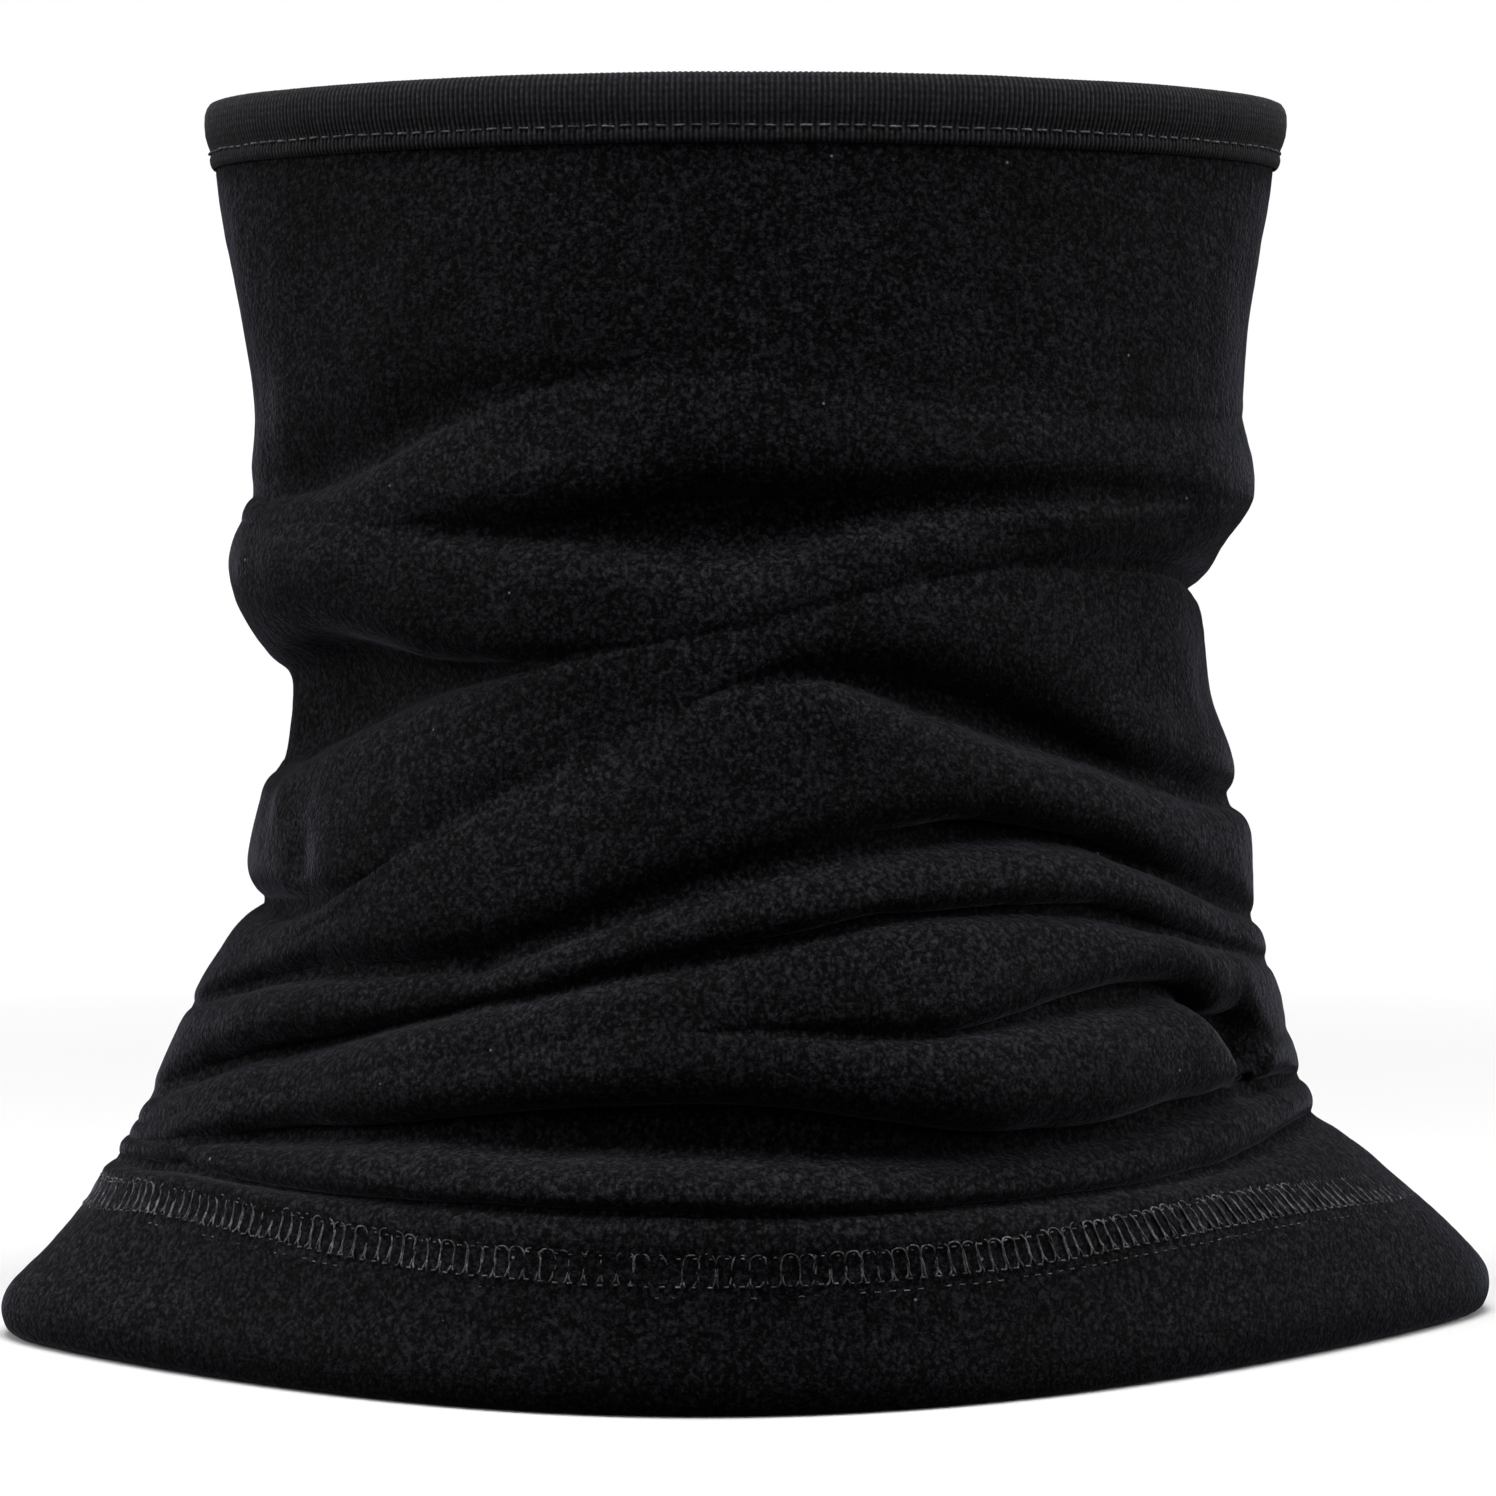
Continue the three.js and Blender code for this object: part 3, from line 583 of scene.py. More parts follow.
# ------------------------------------------------------------------ sewing thread
def thread(name, path, out_dir, radius, sides=6, closed=True, flat=1.0):
    """A tube along a path in mm, joined end to start or capped at both ends; out_dir is the way
    out of the cloth at each point."""
    ahead = np.roll(path, -1, 0) - np.roll(path, 1, 0)
    if not closed:
        ahead[0], ahead[-1] = path[1] - path[0], path[-1] - path[-2]
    ahead /= np.maximum(1e-9, np.linalg.norm(ahead, axis=1, keepdims=True))
    side = np.cross(ahead, out_dir)
    side /= np.maximum(1e-9, np.linalg.norm(side, axis=1, keepdims=True))
    up = np.cross(side, ahead)
    turn = np.arange(sides) * 2 * math.pi / sides
    ring = (side[:, None] * np.cos(turn)[None, :, None]
            + up[:, None] * (flat * np.sin(turn))[None, :, None]) * radius
    pts = (path[:, None] + ring).reshape(-1, 3)
    n = len(path)
    last = n if closed else n - 1
    r = np.arange(last)[:, None] * sides
    r2 = ((np.arange(last) + 1) % n)[:, None] * sides
    k = np.arange(sides)[None, :]
    k2 = (k + 1) % sides
    quads = np.stack([r + k, r + k2, r2 + k2, r2 + k], -1).reshape(-1, 4)
    faces = [quads]
    if not closed:
        faces.append(np.arange(sides)[None, ::-1])
        faces.append((n - 1) * sides + np.arange(sides)[None, :])
    return mesh_of(name, pts, faces)


def out_at(angle, z):
    """The way straight out of the body."""
    return on_body(angle, 1.0, z) - on_body(angle, 0.0, z)


def place_of(z):
    """Which surface a row of stitches at this height lies on: the hem or the plain body."""
    return on_hem if np.mean(z) < HEM_HEIGHT + 1 else on_body


def girth(z):
    """Length round the body at a height."""
    ring = place_of(z)(np.arange(720) / 2, 0, z)
    return float(np.linalg.norm(ring - np.roll(ring, 1, 0), axis=1).sum())


def even_angles(z, count):
    """Angles that divide the way round the body at a height into equal lengths."""
    a = np.linspace(0, 360, 1441)
    ring = place_of(z)(a, 0, z)
    s = np.concatenate([[0], np.cumsum(np.linalg.norm(np.diff(ring, axis=0), axis=1))])
    return np.interp(np.linspace(0, s[-1], count, endpoint=False), s, a)


# ------------------------------------------------------------------ rib binding
def binding():
    """The strip of rib knit folded over the rim, rib by rib."""
    foot = HEIGHT - BIND_WIDTH
    seam_z = HEIGHT - BIND_STITCH
    outside = [(0.1, foot), (0.35, foot - 0.05), (0.62, foot + 0.3), (0.82, foot + 0.9),
               (0.86, foot + 1.5), (0.7, seam_z - 0.5), (0.66, seam_z + 0.3), (1.05, seam_z + 1.4),
               (1.4, seam_z + 2.8), (1.5, seam_z + 4.6), (1.4, seam_z + 6.2),
               (1.1, HEIGHT - 1.2), (0.55, HEIGHT - 0.45), (-0.4, HEIGHT - 0.05),
               (-FLEECE / 2, HEIGHT)]
    inside = [(-FLEECE - o, z) for o, z in reversed(outside[:-1])]
    hollow = [(-FLEECE - 0.15, foot + 1.0), (-FLEECE - 0.12, HEIGHT - BIND_THICK - 0.2),
              (-FLEECE / 2, HEIGHT - BIND_THICK), (0.12, HEIGHT - BIND_THICK - 0.2),
              (0.15, foot + 1.0)]
    section = np.array(outside + inside + hollow)
    ribbed = np.array([1.0] * (len(outside) + len(inside)) + [0.0] * len(hollow))
    ribbed[[0, len(outside) + len(inside) - 1]] = 0.3
    ribs = 556
    per_rib = 5
    n = ribs * per_rib
    angle = even_angles(HEIGHT, n)
    phase = np.arange(n) / per_rib
    rng = np.random.default_rng(8)
    height = 0.85 + 0.15 * np.interp(phase, np.arange(ribs + 1), rng.uniform(-1, 1, ribs + 1))
    ridge = (np.abs(np.cos(math.pi * phase)) - 0.6) * 0.42 * height
    mid = -FLEECE / 2
    out = section[:, 0][:, None] + np.sign(section[:, 0] - mid)[:, None] * ridge[None] * ribbed[:, None]
    top = (np.abs(section[:, 0] - mid) < 2.2) * (section[:, 1] > HEIGHT - 0.6)
    rise = np.where(top[:, None], ridge[None] * 0.5, 0)
    ripple = 0.18 * noise(on_body(angle, 0, HEIGHT), 14, 21)
    z = section[:, 1][:, None] + rise + ripple[None] * 0.6
    grid = on_body(angle[None] + 0 * out, out + ripple[None], z)
    m = len(section)
    r = np.arange(m)[:, None] * n
    r2 = ((np.arange(m) + 1) % m)[:, None] * n
    c = np.arange(n)[None]
    c2 = (c + 1) % n
    quads = np.stack([r + c, r + c2, r2 + c2, r2 + c], -1).reshape(-1, 4)
    obj = mesh_of("binding", grid.reshape(-1, 3), quads)
    lengths = np.concatenate([[0], np.cumsum(np.linalg.norm(np.diff(section, axis=0), axis=1))])
    store(obj, "grain", np.stack([
        np.broadcast_to(phase[None], (m, n)), 0 * grid[..., 0],
        np.broadcast_to(lengths[:, None], (m, n))], -1).reshape(-1, 3))
    return obj


bind = binding()


def sunk_at(angles):
    """1 where the hem's stitches sink deepest into the pile, 0 far from there."""
    middle_angle, spread_angle = STITCH_SINK
    return np.exp(-((angles - middle_angle) / spread_angle) ** 2)


def running_stitch(name, z, out, pitch, rise, dip, share, radius, phase=0.0):
    """One row of stitches round the body: floats on the surface, for that share of each pitch,
    and dips into it."""
    count = int(round(girth(z) / pitch))
    per = 10
    n = count * per
    s = np.arange(n) / per + phase
    f = s % 1.0
    rng = np.random.default_rng(int(z * 10))
    wobble = np.interp(s, np.arange(count + 2), rng.uniform(-1, 1, count + 2))
    wobble_out = rng.uniform(-1, 0.6, count + 2)
    up = np.clip(np.minimum(f, share - f) / 0.14, -1, 1)
    up = np.where(f < share, np.sin(np.clip(up, 0, 1) * math.pi / 2), 0)
    low = np.where(f >= share, np.sin((f - share) / (1 - share) * math.pi), 0)
    reach = out + rise * up - dip * low + 0.16 * np.interp(s + 0.5, np.arange(count + 2), wobble_out)
    angles = even_angles(z, n)
    high = z + 0.12 * wobble
    if z < HEM_HEIGHT + 1:
        reach = reach - 0.22 * sunk_at(angles)
    path = place_of(z)(angles, reach, high)
    return thread(name, path, out_at(angles, high), radius, flat=0.8)


topstitch = running_stitch(
    "topstitch", HEIGHT - BIND_STITCH, 0.7, pitch=2.8, rise=0.32, dip=0.9, share=0.6, radius=0.2)
bobbin = running_stitch(
    "bobbin_stitch", HEIGHT - BIND_STITCH, -FLEECE - 0.95, pitch=2.8, rise=0.5, dip=0.1, share=0.4,
    radius=0.22, phase=0.5)


# ------------------------------------------------------------------ cover stitch of the hem
def ladder():
    """The covering thread: an arch, a bar down to the middle line and a bar back, per stitch."""
    z_top, z_mid, _ = HEM_LINES
    pitch = 2.55
    count = int(round(girth(z_mid) / pitch))
    # along the row in pitches, height, lift off the cloth, for one stitch
    shape = np.array([
        [0.02, z_top + 0.05, 0.42], [0.20, z_top + 0.40, 0.46], [0.45, z_top + 0.50, 0.46],
        [0.72, z_top + 0.34, 0.44], [0.88, z_top - 0.20, 0.42], [0.95, z_top - 1.30, 0.34],
        [0.98, z_top - 2.40, 0.32], [1.00, z_mid + 0.50, 0.40], [1.10, z_mid - 0.20, 0.46],
        [1.22, z_mid - 0.60, 0.20], [1.02, z_mid - 0.40, -0.35], [0.76, z_mid - 0.60, 0.20],
        [0.82, z_mid - 0.10, 0.46], [0.89, z_mid + 0.50, 0.40], [0.88, z_top - 2.30, 0.32],
        [0.87, z_top - 1.10, 0.30]])
    k = len(shape)
    rng = np.random.default_rng(31)
    index = np.repeat(np.arange(count), k)
    s = index + np.tile(shape[:, 0], count) + rng.uniform(-0.07, 0.07, count)[index]
    z = np.tile(shape[:, 1], count) + rng.uniform(-0.22, 0.22, count)[index]
    lift = np.tile(shape[:, 2], count) + rng.uniform(-0.16, 0.04, count)[index]
    lift = lift + rng.uniform(-0.24, 0.06, len(lift))
    s = s + rng.uniform(-0.03, 0.03, len(s))
    start = np.append(even_angles(z_mid, count), 360.0)
    angles = np.interp(np.mod(s, count), np.arange(count + 1), start)
    lift = lift - sunk_at(angles) * (0.16 + 0.22 * np.clip((z_top - 0.5 - z) / 1.2, 0, 1))
    angles = angles + 0.20 * np.cos(np.radians(angles)) * (z_top - z)
    path = on_hem(angles, lift - HEM_CHANNEL, z)
    nxt, prv, nx2 = np.roll(path, -1, 0), np.roll(path, 1, 0), np.roll(path, -2, 0)
    fine = []
    for t in (0.0, 0.5):
        fine.append(0.5 * (2 * path + (nxt - prv) * t + (2 * prv - 5 * path + 4 * nxt - nx2) * t * t
                           + (3 * path - prv - 3 * nxt + nx2) * t ** 3))
    path = np.stack(fine, 1).reshape(-1, 3)
    angles = np.repeat(angles, 2)
    return thread("hem_ladder", path, out_at(angles, path[:, 2]), 0.17, flat=0.9)


cover = ladder()
needles = [
    running_stitch(
        "hem_needle_upper", HEM_LINES[0] - 0.15, -HEM_CHANNEL + 0.02, pitch=2.4, rise=0.4, dip=0.7,
        share=0.4, radius=0.15, phase=0.45),
    running_stitch(
        "hem_needle_middle", HEM_LINES[1] - 0.5, -HEM_CHANNEL, pitch=2.4, rise=0.42, dip=0.7,
        share=0.36, radius=0.16, phase=0.3),
    running_stitch(
        "hem_needle_lower", HEM_LINES[2] + 0.1, -HEM_CHANNEL - 0.1, pitch=2.4, rise=0.26, dip=0.6,
        share=0.5, radius=0.12, phase=0.6)]


def looper():
    """The thread inside the hem: loops swung from line to line across the lap."""
    middle_z, reach = 20, 3.6
    pitch, per = 2.4, 12
    count = int(round(girth(middle_z) / pitch))
    n = count * per
    s = np.arange(n) / per
    swing = np.sin(2 * math.pi * s)
    z = middle_z + reach * np.clip(1.3 * swing, -1, 1)
    angles = even_angles(middle_z, n) + 0.35 * np.sin(4 * math.pi * s)
    out = -2 * FLEECE - 0.3 - HEM_CHANNEL - 0.35 - 0.18 * np.cos(2 * math.pi * s)
    path = on_hem(angles, out, z)
    return thread("hem_looper", path, out_at(angles, z), 0.24)


loops = looper()


def overlock():
    """The overlock chain down the inside of the centre back, riding the folds."""
    i0 = int(round(columns_in * SEAM_ANGLE / 360))
    half_width = 2.9
    zs = inner[:, i0, 2]
    use = np.where(zs < HEIGHT - BIND_WIDTH - 1.5)[0]
    use = use[use < rows_in - 40]
    spine = inner[use, i0]
    length = np.concatenate([[0], np.cumsum(np.linalg.norm(np.diff(spine, axis=0), axis=1))])
    pitch, per = 2.5, 12
    count = int(length[-1] / pitch)
    s = np.arange(count * per) / per
    place = s * pitch
    base_pt = np.stack([np.interp(place, length, spine[:, k]) for k in range(3)], -1)
    inn = -normals_of(inner)[use, i0]
    for _ in range(6):
        inn[1:-1] = (inn[:-2] + inn[1:-1] + inn[2:]) / 3
    inward = np.stack([np.interp(place, length, inn[:, k]) for k in range(3)], -1)
    inward /= np.linalg.norm(inward, axis=1, keepdims=True)
    swing = np.clip(1.4 * np.sin(2 * math.pi * s), -1, 1) * half_width
    path = base_pt + inward * (0.35 + 0.12 * np.cos(4 * math.pi * s))[:, None]
    path[:, 0] += swing
    path[:, 2] += 0.5 * np.sin(4 * math.pi * s)
    return thread("seam_overlock", path, inward, 0.24, closed=False)


seam_chain = overlock()


# ------------------------------------------------------------------ materials
def material(name):
    """A new material with its nodes, its links and its one surface shader."""
    m = bpy.data.materials.new(name)
    m.use_nodes = True
    n = m.node_tree.nodes
    n.clear()
    out = n.new("ShaderNodeOutputMaterial")
    bsdf = n.new("ShaderNodeBsdfPrincipled")
    m.node_tree.links.new(bsdf.outputs[0], out.inputs[0])
    return m, n, m.node_tree.links, bsdf


def ramp(nodes, stops):
    """A colour ramp through (position, colour) stops."""
    node = nodes.new("ShaderNodeValToRGB")
    e = node.color_ramp.elements
    e[0].position, e[0].color = stops[0][0], (*stops[0][1], 1)
    e[1].position, e[1].color = stops[-1][0], (*stops[-1][1], 1)
    for at, colour in stops[1:-1]:
        e.new(at).color = (*colour, 1)
    return node


def grain_vector(nodes, links, stretch=(1, 1, 1)):
    """Where a point lay on the cloth at rest, so that the pattern moves with the cloth."""
    attribute = nodes.new("ShaderNodeAttribute")
    attribute.attribute_name = "grain"
    mapping = nodes.new("ShaderNodeMapping")
    mapping.inputs["Scale"].default_value = stretch
    links.new(attribute.outputs["Vector"], mapping.inputs["Vector"])
    return mapping.outputs["Vector"]


def noise_node(nodes, links, vector, scale, detail=2.0, rough=0.5):
    """Noise with so many lumps to the metre."""
    node = nodes.new("ShaderNodeTexNoise")
    node.inputs["Scale"].default_value = scale
    node.inputs["Detail"].default_value = detail
    node.inputs["Roughness"].default_value = rough
    links.new(vector, node.inputs["Vector"])
    return node


def maths(nodes, links, kind, a, b):
    """A sum of two values, each a number or another node's output."""
    node = nodes.new("ShaderNodeMath")
    node.operation = kind
    for i, v in enumerate((a, b)):
        if isinstance(v, (int, float)):
            node.inputs[i].default_value = v
        else:
            links.new(v, node.inputs[i])
    return node.outputs[0]


def bump(nodes, links, bsdf, height, strength, distance):
    """Fine relief on a surface, of so many metres at most."""
    node = nodes.new("ShaderNodeBump")
    node.inputs["Strength"].default_value = strength
    node.inputs["Distance"].default_value = distance
    links.new(height, node.inputs["Height"])
    links.new(node.outputs["Normal"], bsdf.inputs["Normal"])


def fleece_material():
    """Matt black pile: lumps, fibres, fine cracks between the tufts and specks of lint. Its base colour
    carries painted light and shade: lighter on the lumps, darker in the cracks between the tufts.
    """
    m, n, l, bsdf = material("black_fleece")
    place = grain_vector(n, l, (1, 0.6, 1))
    tall = grain_vector(n, l, (1, 0.6, 0.75))
    lumps = noise_node(n, l, place, 1250, 1, 0.5)
    fibres = noise_node(n, l, place, 2600, 2, 0.7)
    strands = noise_node(n, l, tall, 560, 2, 0.6)
    # dark cracks where the strands' noise crosses its middle value: painted shade between the tufts, set
    # in the colour and roughness only, not in the bump
    crack = maths(n, l, "ABSOLUTE", maths(n, l, "SUBTRACT", strands.outputs["Fac"], 0.5), 0)
    gap = ramp(n, [(0.0, (0.0, 0.0, 0.0)), (0.03, (0.4, 0.4, 0.4)), (0.075, (1, 1, 1))])
    l.new(crack, gap.inputs["Fac"])
    relief = maths(n, l, "ADD", maths(n, l, "MULTIPLY", lumps.outputs["Fac"], 0.6),
                   maths(n, l, "MULTIPLY", fibres.outputs["Fac"], 0.4))
    height = maths(n, l, "ADD", maths(n, l, "MULTIPLY", relief, 0.86),
                   maths(n, l, "MULTIPLY", gap.outputs["Color"], 0.14))
    # painted light and shade: the base colour rises with the pile's relief and falls in the painted
    # cracks; the broad noise below adds random tone
    shade = ramp(n, [(0.42, (0.0002, 0.0002, 0.0003)), (0.49, (0.0014, 0.0014, 0.0019)),
                     (0.55, (0.0049, 0.0049, 0.0063)), (0.62, (0.0096, 0.0096, 0.0120)),
                     (0.72, (0.0196, 0.0196, 0.0236))])
    l.new(height, shade.inputs["Fac"])
    broad = noise_node(n, l, place, 40, 3)
    tone = ramp(n, [(0.3, (0.8, 0.8, 0.8)), (0.7, (1.2, 1.2, 1.22))])
    l.new(broad.outputs["Fac"], tone.inputs["Fac"])
    mix = n.new("ShaderNodeMix")
    mix.data_type = "RGBA"
    mix.blend_type = "MULTIPLY"
    mix.inputs["Factor"].default_value = 1
    l.new(shade.outputs["Color"], mix.inputs["A"])
    l.new(tone.outputs["Color"], mix.inputs["B"])
    # a few pale specks of lint
    lint = n.new("ShaderNodeTexVoronoi")
    lint.inputs["Scale"].default_value = 105
    l.new(place, lint.inputs["Vector"])
    speck = ramp(n, [(0.018, (1, 1, 1)), (0.03, (0, 0, 0))])
    l.new(lint.outputs["Distance"], speck.inputs["Fac"])
    dust = n.new("ShaderNodeMix")
    dust.data_type = "RGBA"
    l.new(speck.outputs["Color"], dust.inputs["Factor"])
    l.new(mix.outputs["Result"], dust.inputs["A"])
    dust.inputs["B"].default_value = (0.16, 0.16, 0.17, 1)
    l.new(dust.outputs["Result"], bsdf.inputs["Base Color"])
    rough = ramp(n, [(0.4, (1, 1, 1)), (0.7, (0.84, 0.84, 0.84))])
    l.new(height, rough.inputs["Fac"])
    l.new(rough.outputs["Color"], bsdf.inputs["Roughness"])
    bsdf.inputs["Specular IOR Level"].default_value = 0.1
    bsdf.inputs["Sheen Weight"].default_value = 0.16
    bsdf.inputs["Sheen Roughness"].default_value = 0.26
    bsdf.inputs["Sheen Tint"].default_value = (0.78, 0.8, 1.0, 1)
    bump(n, l, bsdf, relief, 0.5, 0.0008)
    return m


def rib_material():
    """Fine rib knit: rows of loops down each rib and a little fuzz. Its base colour is darker in the
    grooves between the ribs and rows, painted shade.
    """
    m, n, l, bsdf = material("black_rib_knit")
    attribute = n.new("ShaderNodeAttribute")
    attribute.attribute_name = "grain"
    split = n.new("ShaderNodeSeparateXYZ")
    l.new(attribute.outputs["Vector"], split.inputs[0])
    coordinate = n.new("ShaderNodeTexCoord")
    fuzz = noise_node(n, l, coordinate.outputs["Object"], 1500, 3, 0.65)
    wear = noise_node(n, l, coordinate.outputs["Object"], 260, 2)
    course = maths(n, l, "SINE", maths(n, l, "MULTIPLY", split.outputs["Z"], 2 * math.pi / 0.0011), 0)
    rib = maths(n, l, "COSINE", maths(n, l, "MULTIPLY", split.outputs["X"], 2000 * math.pi), 0)
    knit = maths(n, l, "ADD", maths(n, l, "MULTIPLY", rib, 0.26),
                 maths(n, l, "ADD", maths(n, l, "MULTIPLY", course, 0.05),
                       maths(n, l, "MULTIPLY", fuzz.outputs["Fac"], 0.9)))
    # painted shade: the base colour follows the knit's relief, darker in the grooves between ribs and
    # rows; the fuzz and wear noise add random tone
    shade = ramp(n, [(0.12, (0.0013, 0.0013, 0.0018)), (0.45, (0.0082, 0.0082, 0.0100)),
                     (0.72, (0.0205, 0.0205, 0.0240)), (0.9, (0.041, 0.041, 0.047))])
    l.new(maths(n, l, "ADD", knit, maths(n, l, "MULTIPLY", wear.outputs["Fac"], 0.12)),
          shade.inputs["Fac"])
    l.new(shade.outputs["Color"], bsdf.inputs["Base Color"])
    bsdf.inputs["Roughness"].default_value = 0.88
    bsdf.inputs["Specular IOR Level"].default_value = 0.15
    bsdf.inputs["Sheen Weight"].default_value = 0.06
    bsdf.inputs["Sheen Roughness"].default_value = 0.4
    bump(n, l, bsdf, knit, 0.6, 0.0003)
    return m


def thread_material(name, low, high):
    """Twisted polyester thread, near black, with painted glints: pale patches of base colour here and
    there.
    """
    m, n, l, bsdf = material(name)
    coordinate = n.new("ShaderNodeTexCoord")
    fibre = noise_node(n, l, coordinate.outputs["Object"], 2600, 3, 0.65)
    # painted glints: this noise lifts the base colour in patches towards the pale colour
    painted_glint = noise_node(n, l, coordinate.outputs["Object"], 620, 2, 0.6)
    fibre_and_painted_glint = maths(n, l, "ADD", maths(n, l, "MULTIPLY", fibre.outputs["Fac"], 0.45),
                  maths(n, l, "MULTIPLY", painted_glint.outputs["Fac"], 0.55))
    middle = tuple(0.72 * a + 0.28 * b for a, b in zip(low, high))
    shade = ramp(n, [(0.42, low), (0.54, middle), (0.68, high)])
    l.new(fibre_and_painted_glint, shade.inputs["Fac"])
    l.new(shade.outputs["Color"], bsdf.inputs["Base Color"])
    bsdf.inputs["Roughness"].default_value = 0.62
    bsdf.inputs["Specular IOR Level"].default_value = 0.35
    bump(n, l, bsdf, fibre.outputs["Fac"], 0.5, 0.0001)
    return m


pile = fleece_material()
rib = rib_material()
# the first colour is the thread's own near black; the second is the pale colour of its painted glints
yarn = thread_material("black_thread", (0.008, 0.008, 0.010), (0.24, 0.24, 0.26))

# piece, material, its slot, the body it rides on if only one, the CAD node it stands for
plan = [
    (fleece, pile, "fleece", None, ["fleece_tube"]),
    (seam_chain, yarn, "thread", None, ["back_seam_thread"]),
    (bind, rib, "rib_knit", "rim", ["rim_binding"]),
    (topstitch, yarn, "thread", "rim", ["binding_needle_thread"]),
    (bobbin, yarn, "thread", "rim", ["binding_bobbin_thread"]),
    (cover, yarn, "thread", "hem", ["hem_cover_thread"]),
    (needles[0], yarn, "thread", "hem", ["hem_needle_thread_upper"]),
    (needles[1], yarn, "thread", "hem", ["hem_needle_thread_middle"]),
    (needles[2], yarn, "thread", "hem", ["hem_needle_thread_lower"]),
    (loops, yarn, "thread", "hem", ["hem_looper_thread"]),
]
for piece, look, slot, body, nodes in plan:
    piece.data.materials.append(look)
    if body:
        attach(piece, body)
    else:
        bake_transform(piece)
    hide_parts(*nodes)

# ------------------------------------------------------------------ stage, light, camera
scene = bpy.context.scene
scene.view_settings.view_transform = "Standard"
scene.view_settings.look = "None"


def floor():
    """Pale paper that runs from under the object up behind it."""
    size, bend, radius, top = 3000.0, 900.0, 700.0, 2600.0
    below = 0.05
    profile = [(-size, 0.0), (bend, 0.0)]
    for a in np.linspace(0, math.pi / 2, 12)[1:]:
        profile.append((bend + radius * math.sin(a), radius * (1 - math.cos(a))))
    profile.append((bend + radius, top))
    pts = [(x, y, z - below) for y, z in profile for x in (-size, size)]
    faces = np.array([[2 * i, 2 * i + 1, 2 * i + 3, 2 * i + 2] for i in range(len(profile) - 1)])
    obj = mesh_of("studio_floor", np.array(pts), faces)
    m, n, l, bsdf = material("pale_paper")
    coordinate = n.new("ShaderNodeTexCoord")
    soft = noise_node(n, l, coordinate.outputs["Object"], 3, 2)
    tone = ramp(n, [(0.3, (0.86, 0.86, 0.86)), (0.7, (0.88, 0.88, 0.88))])
    l.new(soft.outputs["Fac"], tone.inputs["Fac"])
    l.new(tone.outputs["Color"], bsdf.inputs["Base Color"])
    bsdf.inputs["Roughness"].default_value = 0.9
    # away from the object the paper fades into an evenly lit white
    distance = n.new("ShaderNodeVectorMath")
    distance.operation = "LENGTH"
    l.new(coordinate.outputs["Object"], distance.inputs[0])
    far = ramp(n, [(0.22, (0, 0, 0)), (0.75, (1, 1, 1))])
    l.new(distance.outputs["Value"], far.inputs["Fac"])
    glow = n.new("ShaderNodeEmission")
    fade = n.new("ShaderNodeMixShader")
    l.new(far.outputs["Color"], fade.inputs[0])
    l.new(bsdf.outputs[0], fade.inputs[1])
    l.new(glow.outputs[0], fade.inputs[2])
    # the paper throws back less light than it shows, as if black cards stood beside the cloth
    path = n.new("ShaderNodeLightPath")
    dim = n.new("ShaderNodeBsdfDiffuse")
    dim.inputs["Color"].default_value = (0.05, 0.05, 0.05, 1)
    mix = n.new("ShaderNodeMixShader")
    l.new(path.outputs["Is Camera Ray"], mix.inputs[0])
    l.new(dim.outputs[0], mix.inputs[1])
    l.new(fade.outputs[0], mix.inputs[2])
    l.new(mix.outputs[0], n["Material Output"].inputs[0])
    obj.data.materials.append(m)


floor()


def lamp(name, place, size, power, aim=(0, 0, 0.1)):
    """A soft rectangular light in metres and watts, turned to the object."""
    data = bpy.data.lights.new(name, "AREA")
    data.shape = "RECTANGLE"
    data.size, data.size_y = size
    data.energy = power
    obj = bpy.data.objects.new(name, data)
    scene.collection.objects.link(obj)
    obj.location = place
    obj.rotation_euler = (Vector(aim) - Vector(place)).to_track_quat("-Z", "Y").to_euler()
    return obj


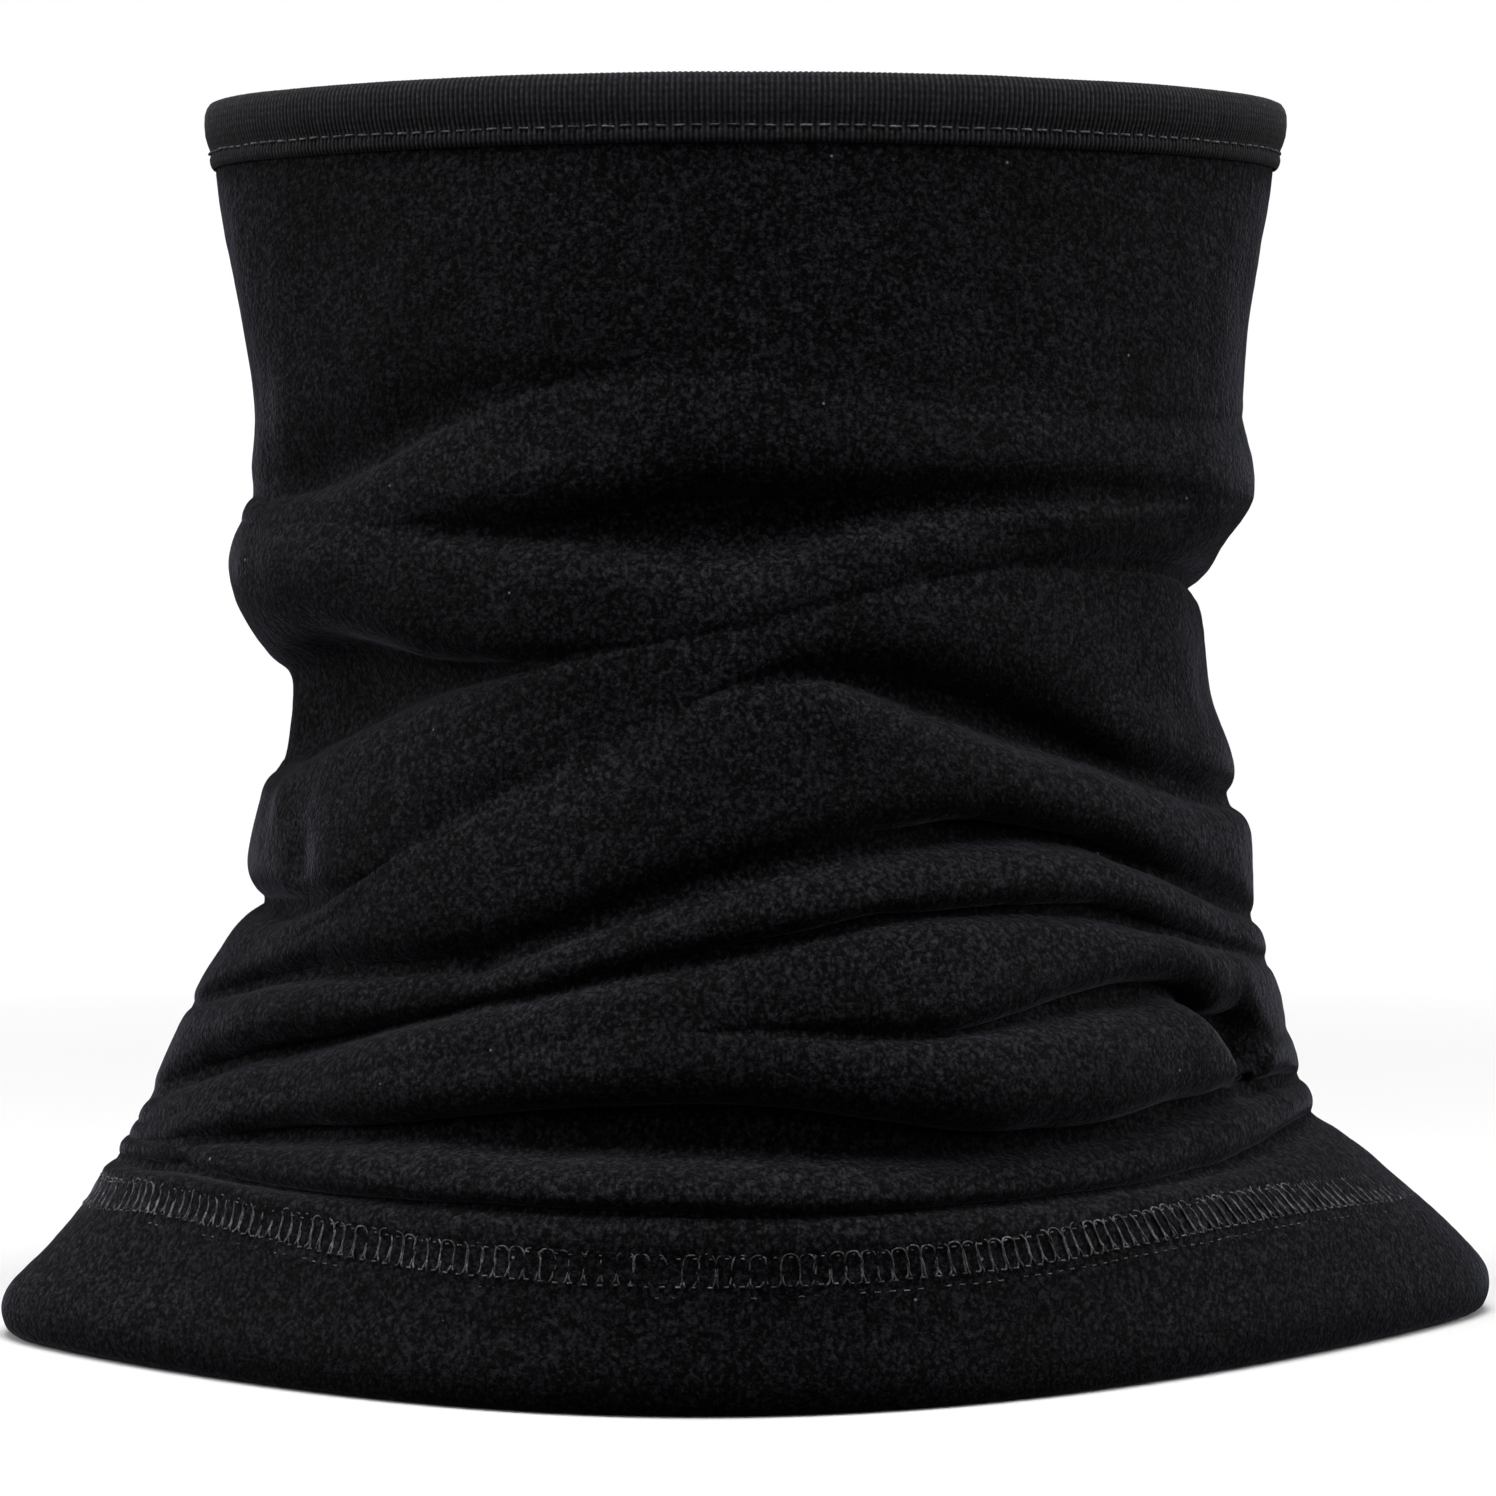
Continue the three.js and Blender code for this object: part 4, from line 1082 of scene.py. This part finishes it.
lamp("overhead_soft", (0.0, -0.5, 1.5), (1.0, 0.9), 27)
lamp("front_fill", (-0.3, -2.0, 0.9), (1.0, 0.8), 6)
lamp("right_rim", (1.3, 0.25, 0.5), (0.5, 0.9), 9)
lamp("left_rim", (-1.3, 0.25, 0.5), (0.5, 0.9), 9)


def sky():
    """White behind the object; for everything else a soft sky that is darkest below."""
    world = bpy.data.worlds.new("studio")
    scene.world = world
    world.use_nodes = True
    n, l = world.node_tree.nodes, world.node_tree.links
    soft = n["Background"]
    backdrop = n.new("ShaderNodeBackground")
    backdrop.inputs["Color"].default_value = (1, 1, 1, 1)
    coordinate = n.new("ShaderNodeTexCoord")
    split = n.new("ShaderNodeSeparateXYZ")
    l.new(coordinate.outputs["Generated"], split.inputs[0])
    above = ramp(n, [(0.0, (0.006, 0.006, 0.006)), (0.5, (0.04, 0.04, 0.04)), (1.0, (0.14, 0.14, 0.14))])
    lift = maths(n, l, "MULTIPLY", maths(n, l, "ADD", split.outputs["Z"], 1.0), 0.5)
    l.new(lift, above.inputs["Fac"])
    behind = ramp(n, [(0.25, (0, 0, 0)), (0.9, (1.3, 1.3, 1.3))])
    l.new(split.outputs["Y"], behind.inputs["Fac"])
    both = n.new("ShaderNodeVectorMath")
    l.new(above.outputs["Color"], both.inputs[0])
    l.new(behind.outputs["Color"], both.inputs[1])
    l.new(both.outputs[0], soft.inputs["Color"])
    soft.inputs["Strength"].default_value = 1.0
    path = n.new("ShaderNodeLightPath")
    mix = n.new("ShaderNodeMixShader")
    l.new(path.outputs["Is Camera Ray"], mix.inputs[0])
    l.new(soft.outputs[0], mix.inputs[1])
    l.new(backdrop.outputs[0], mix.inputs[2])
    l.new(mix.outputs[0], n["World Output"].inputs[0])


sky()

camera_data = bpy.data.cameras.new("camera")
camera_data.sensor_width = 36
camera_data.lens = 144.385
camera_data.shift_y = -0.13904  # the camera looks level, from above the middle of the object
camera_data.clip_end = 30
camera = bpy.data.objects.new("camera", camera_data)
scene.collection.objects.link(camera)
camera.location = (-0.0015, -1.0, 0.130)
camera.rotation_euler = (math.pi / 2, 0, 0)
scene.camera = camera

bpy.context.view_layer.update()
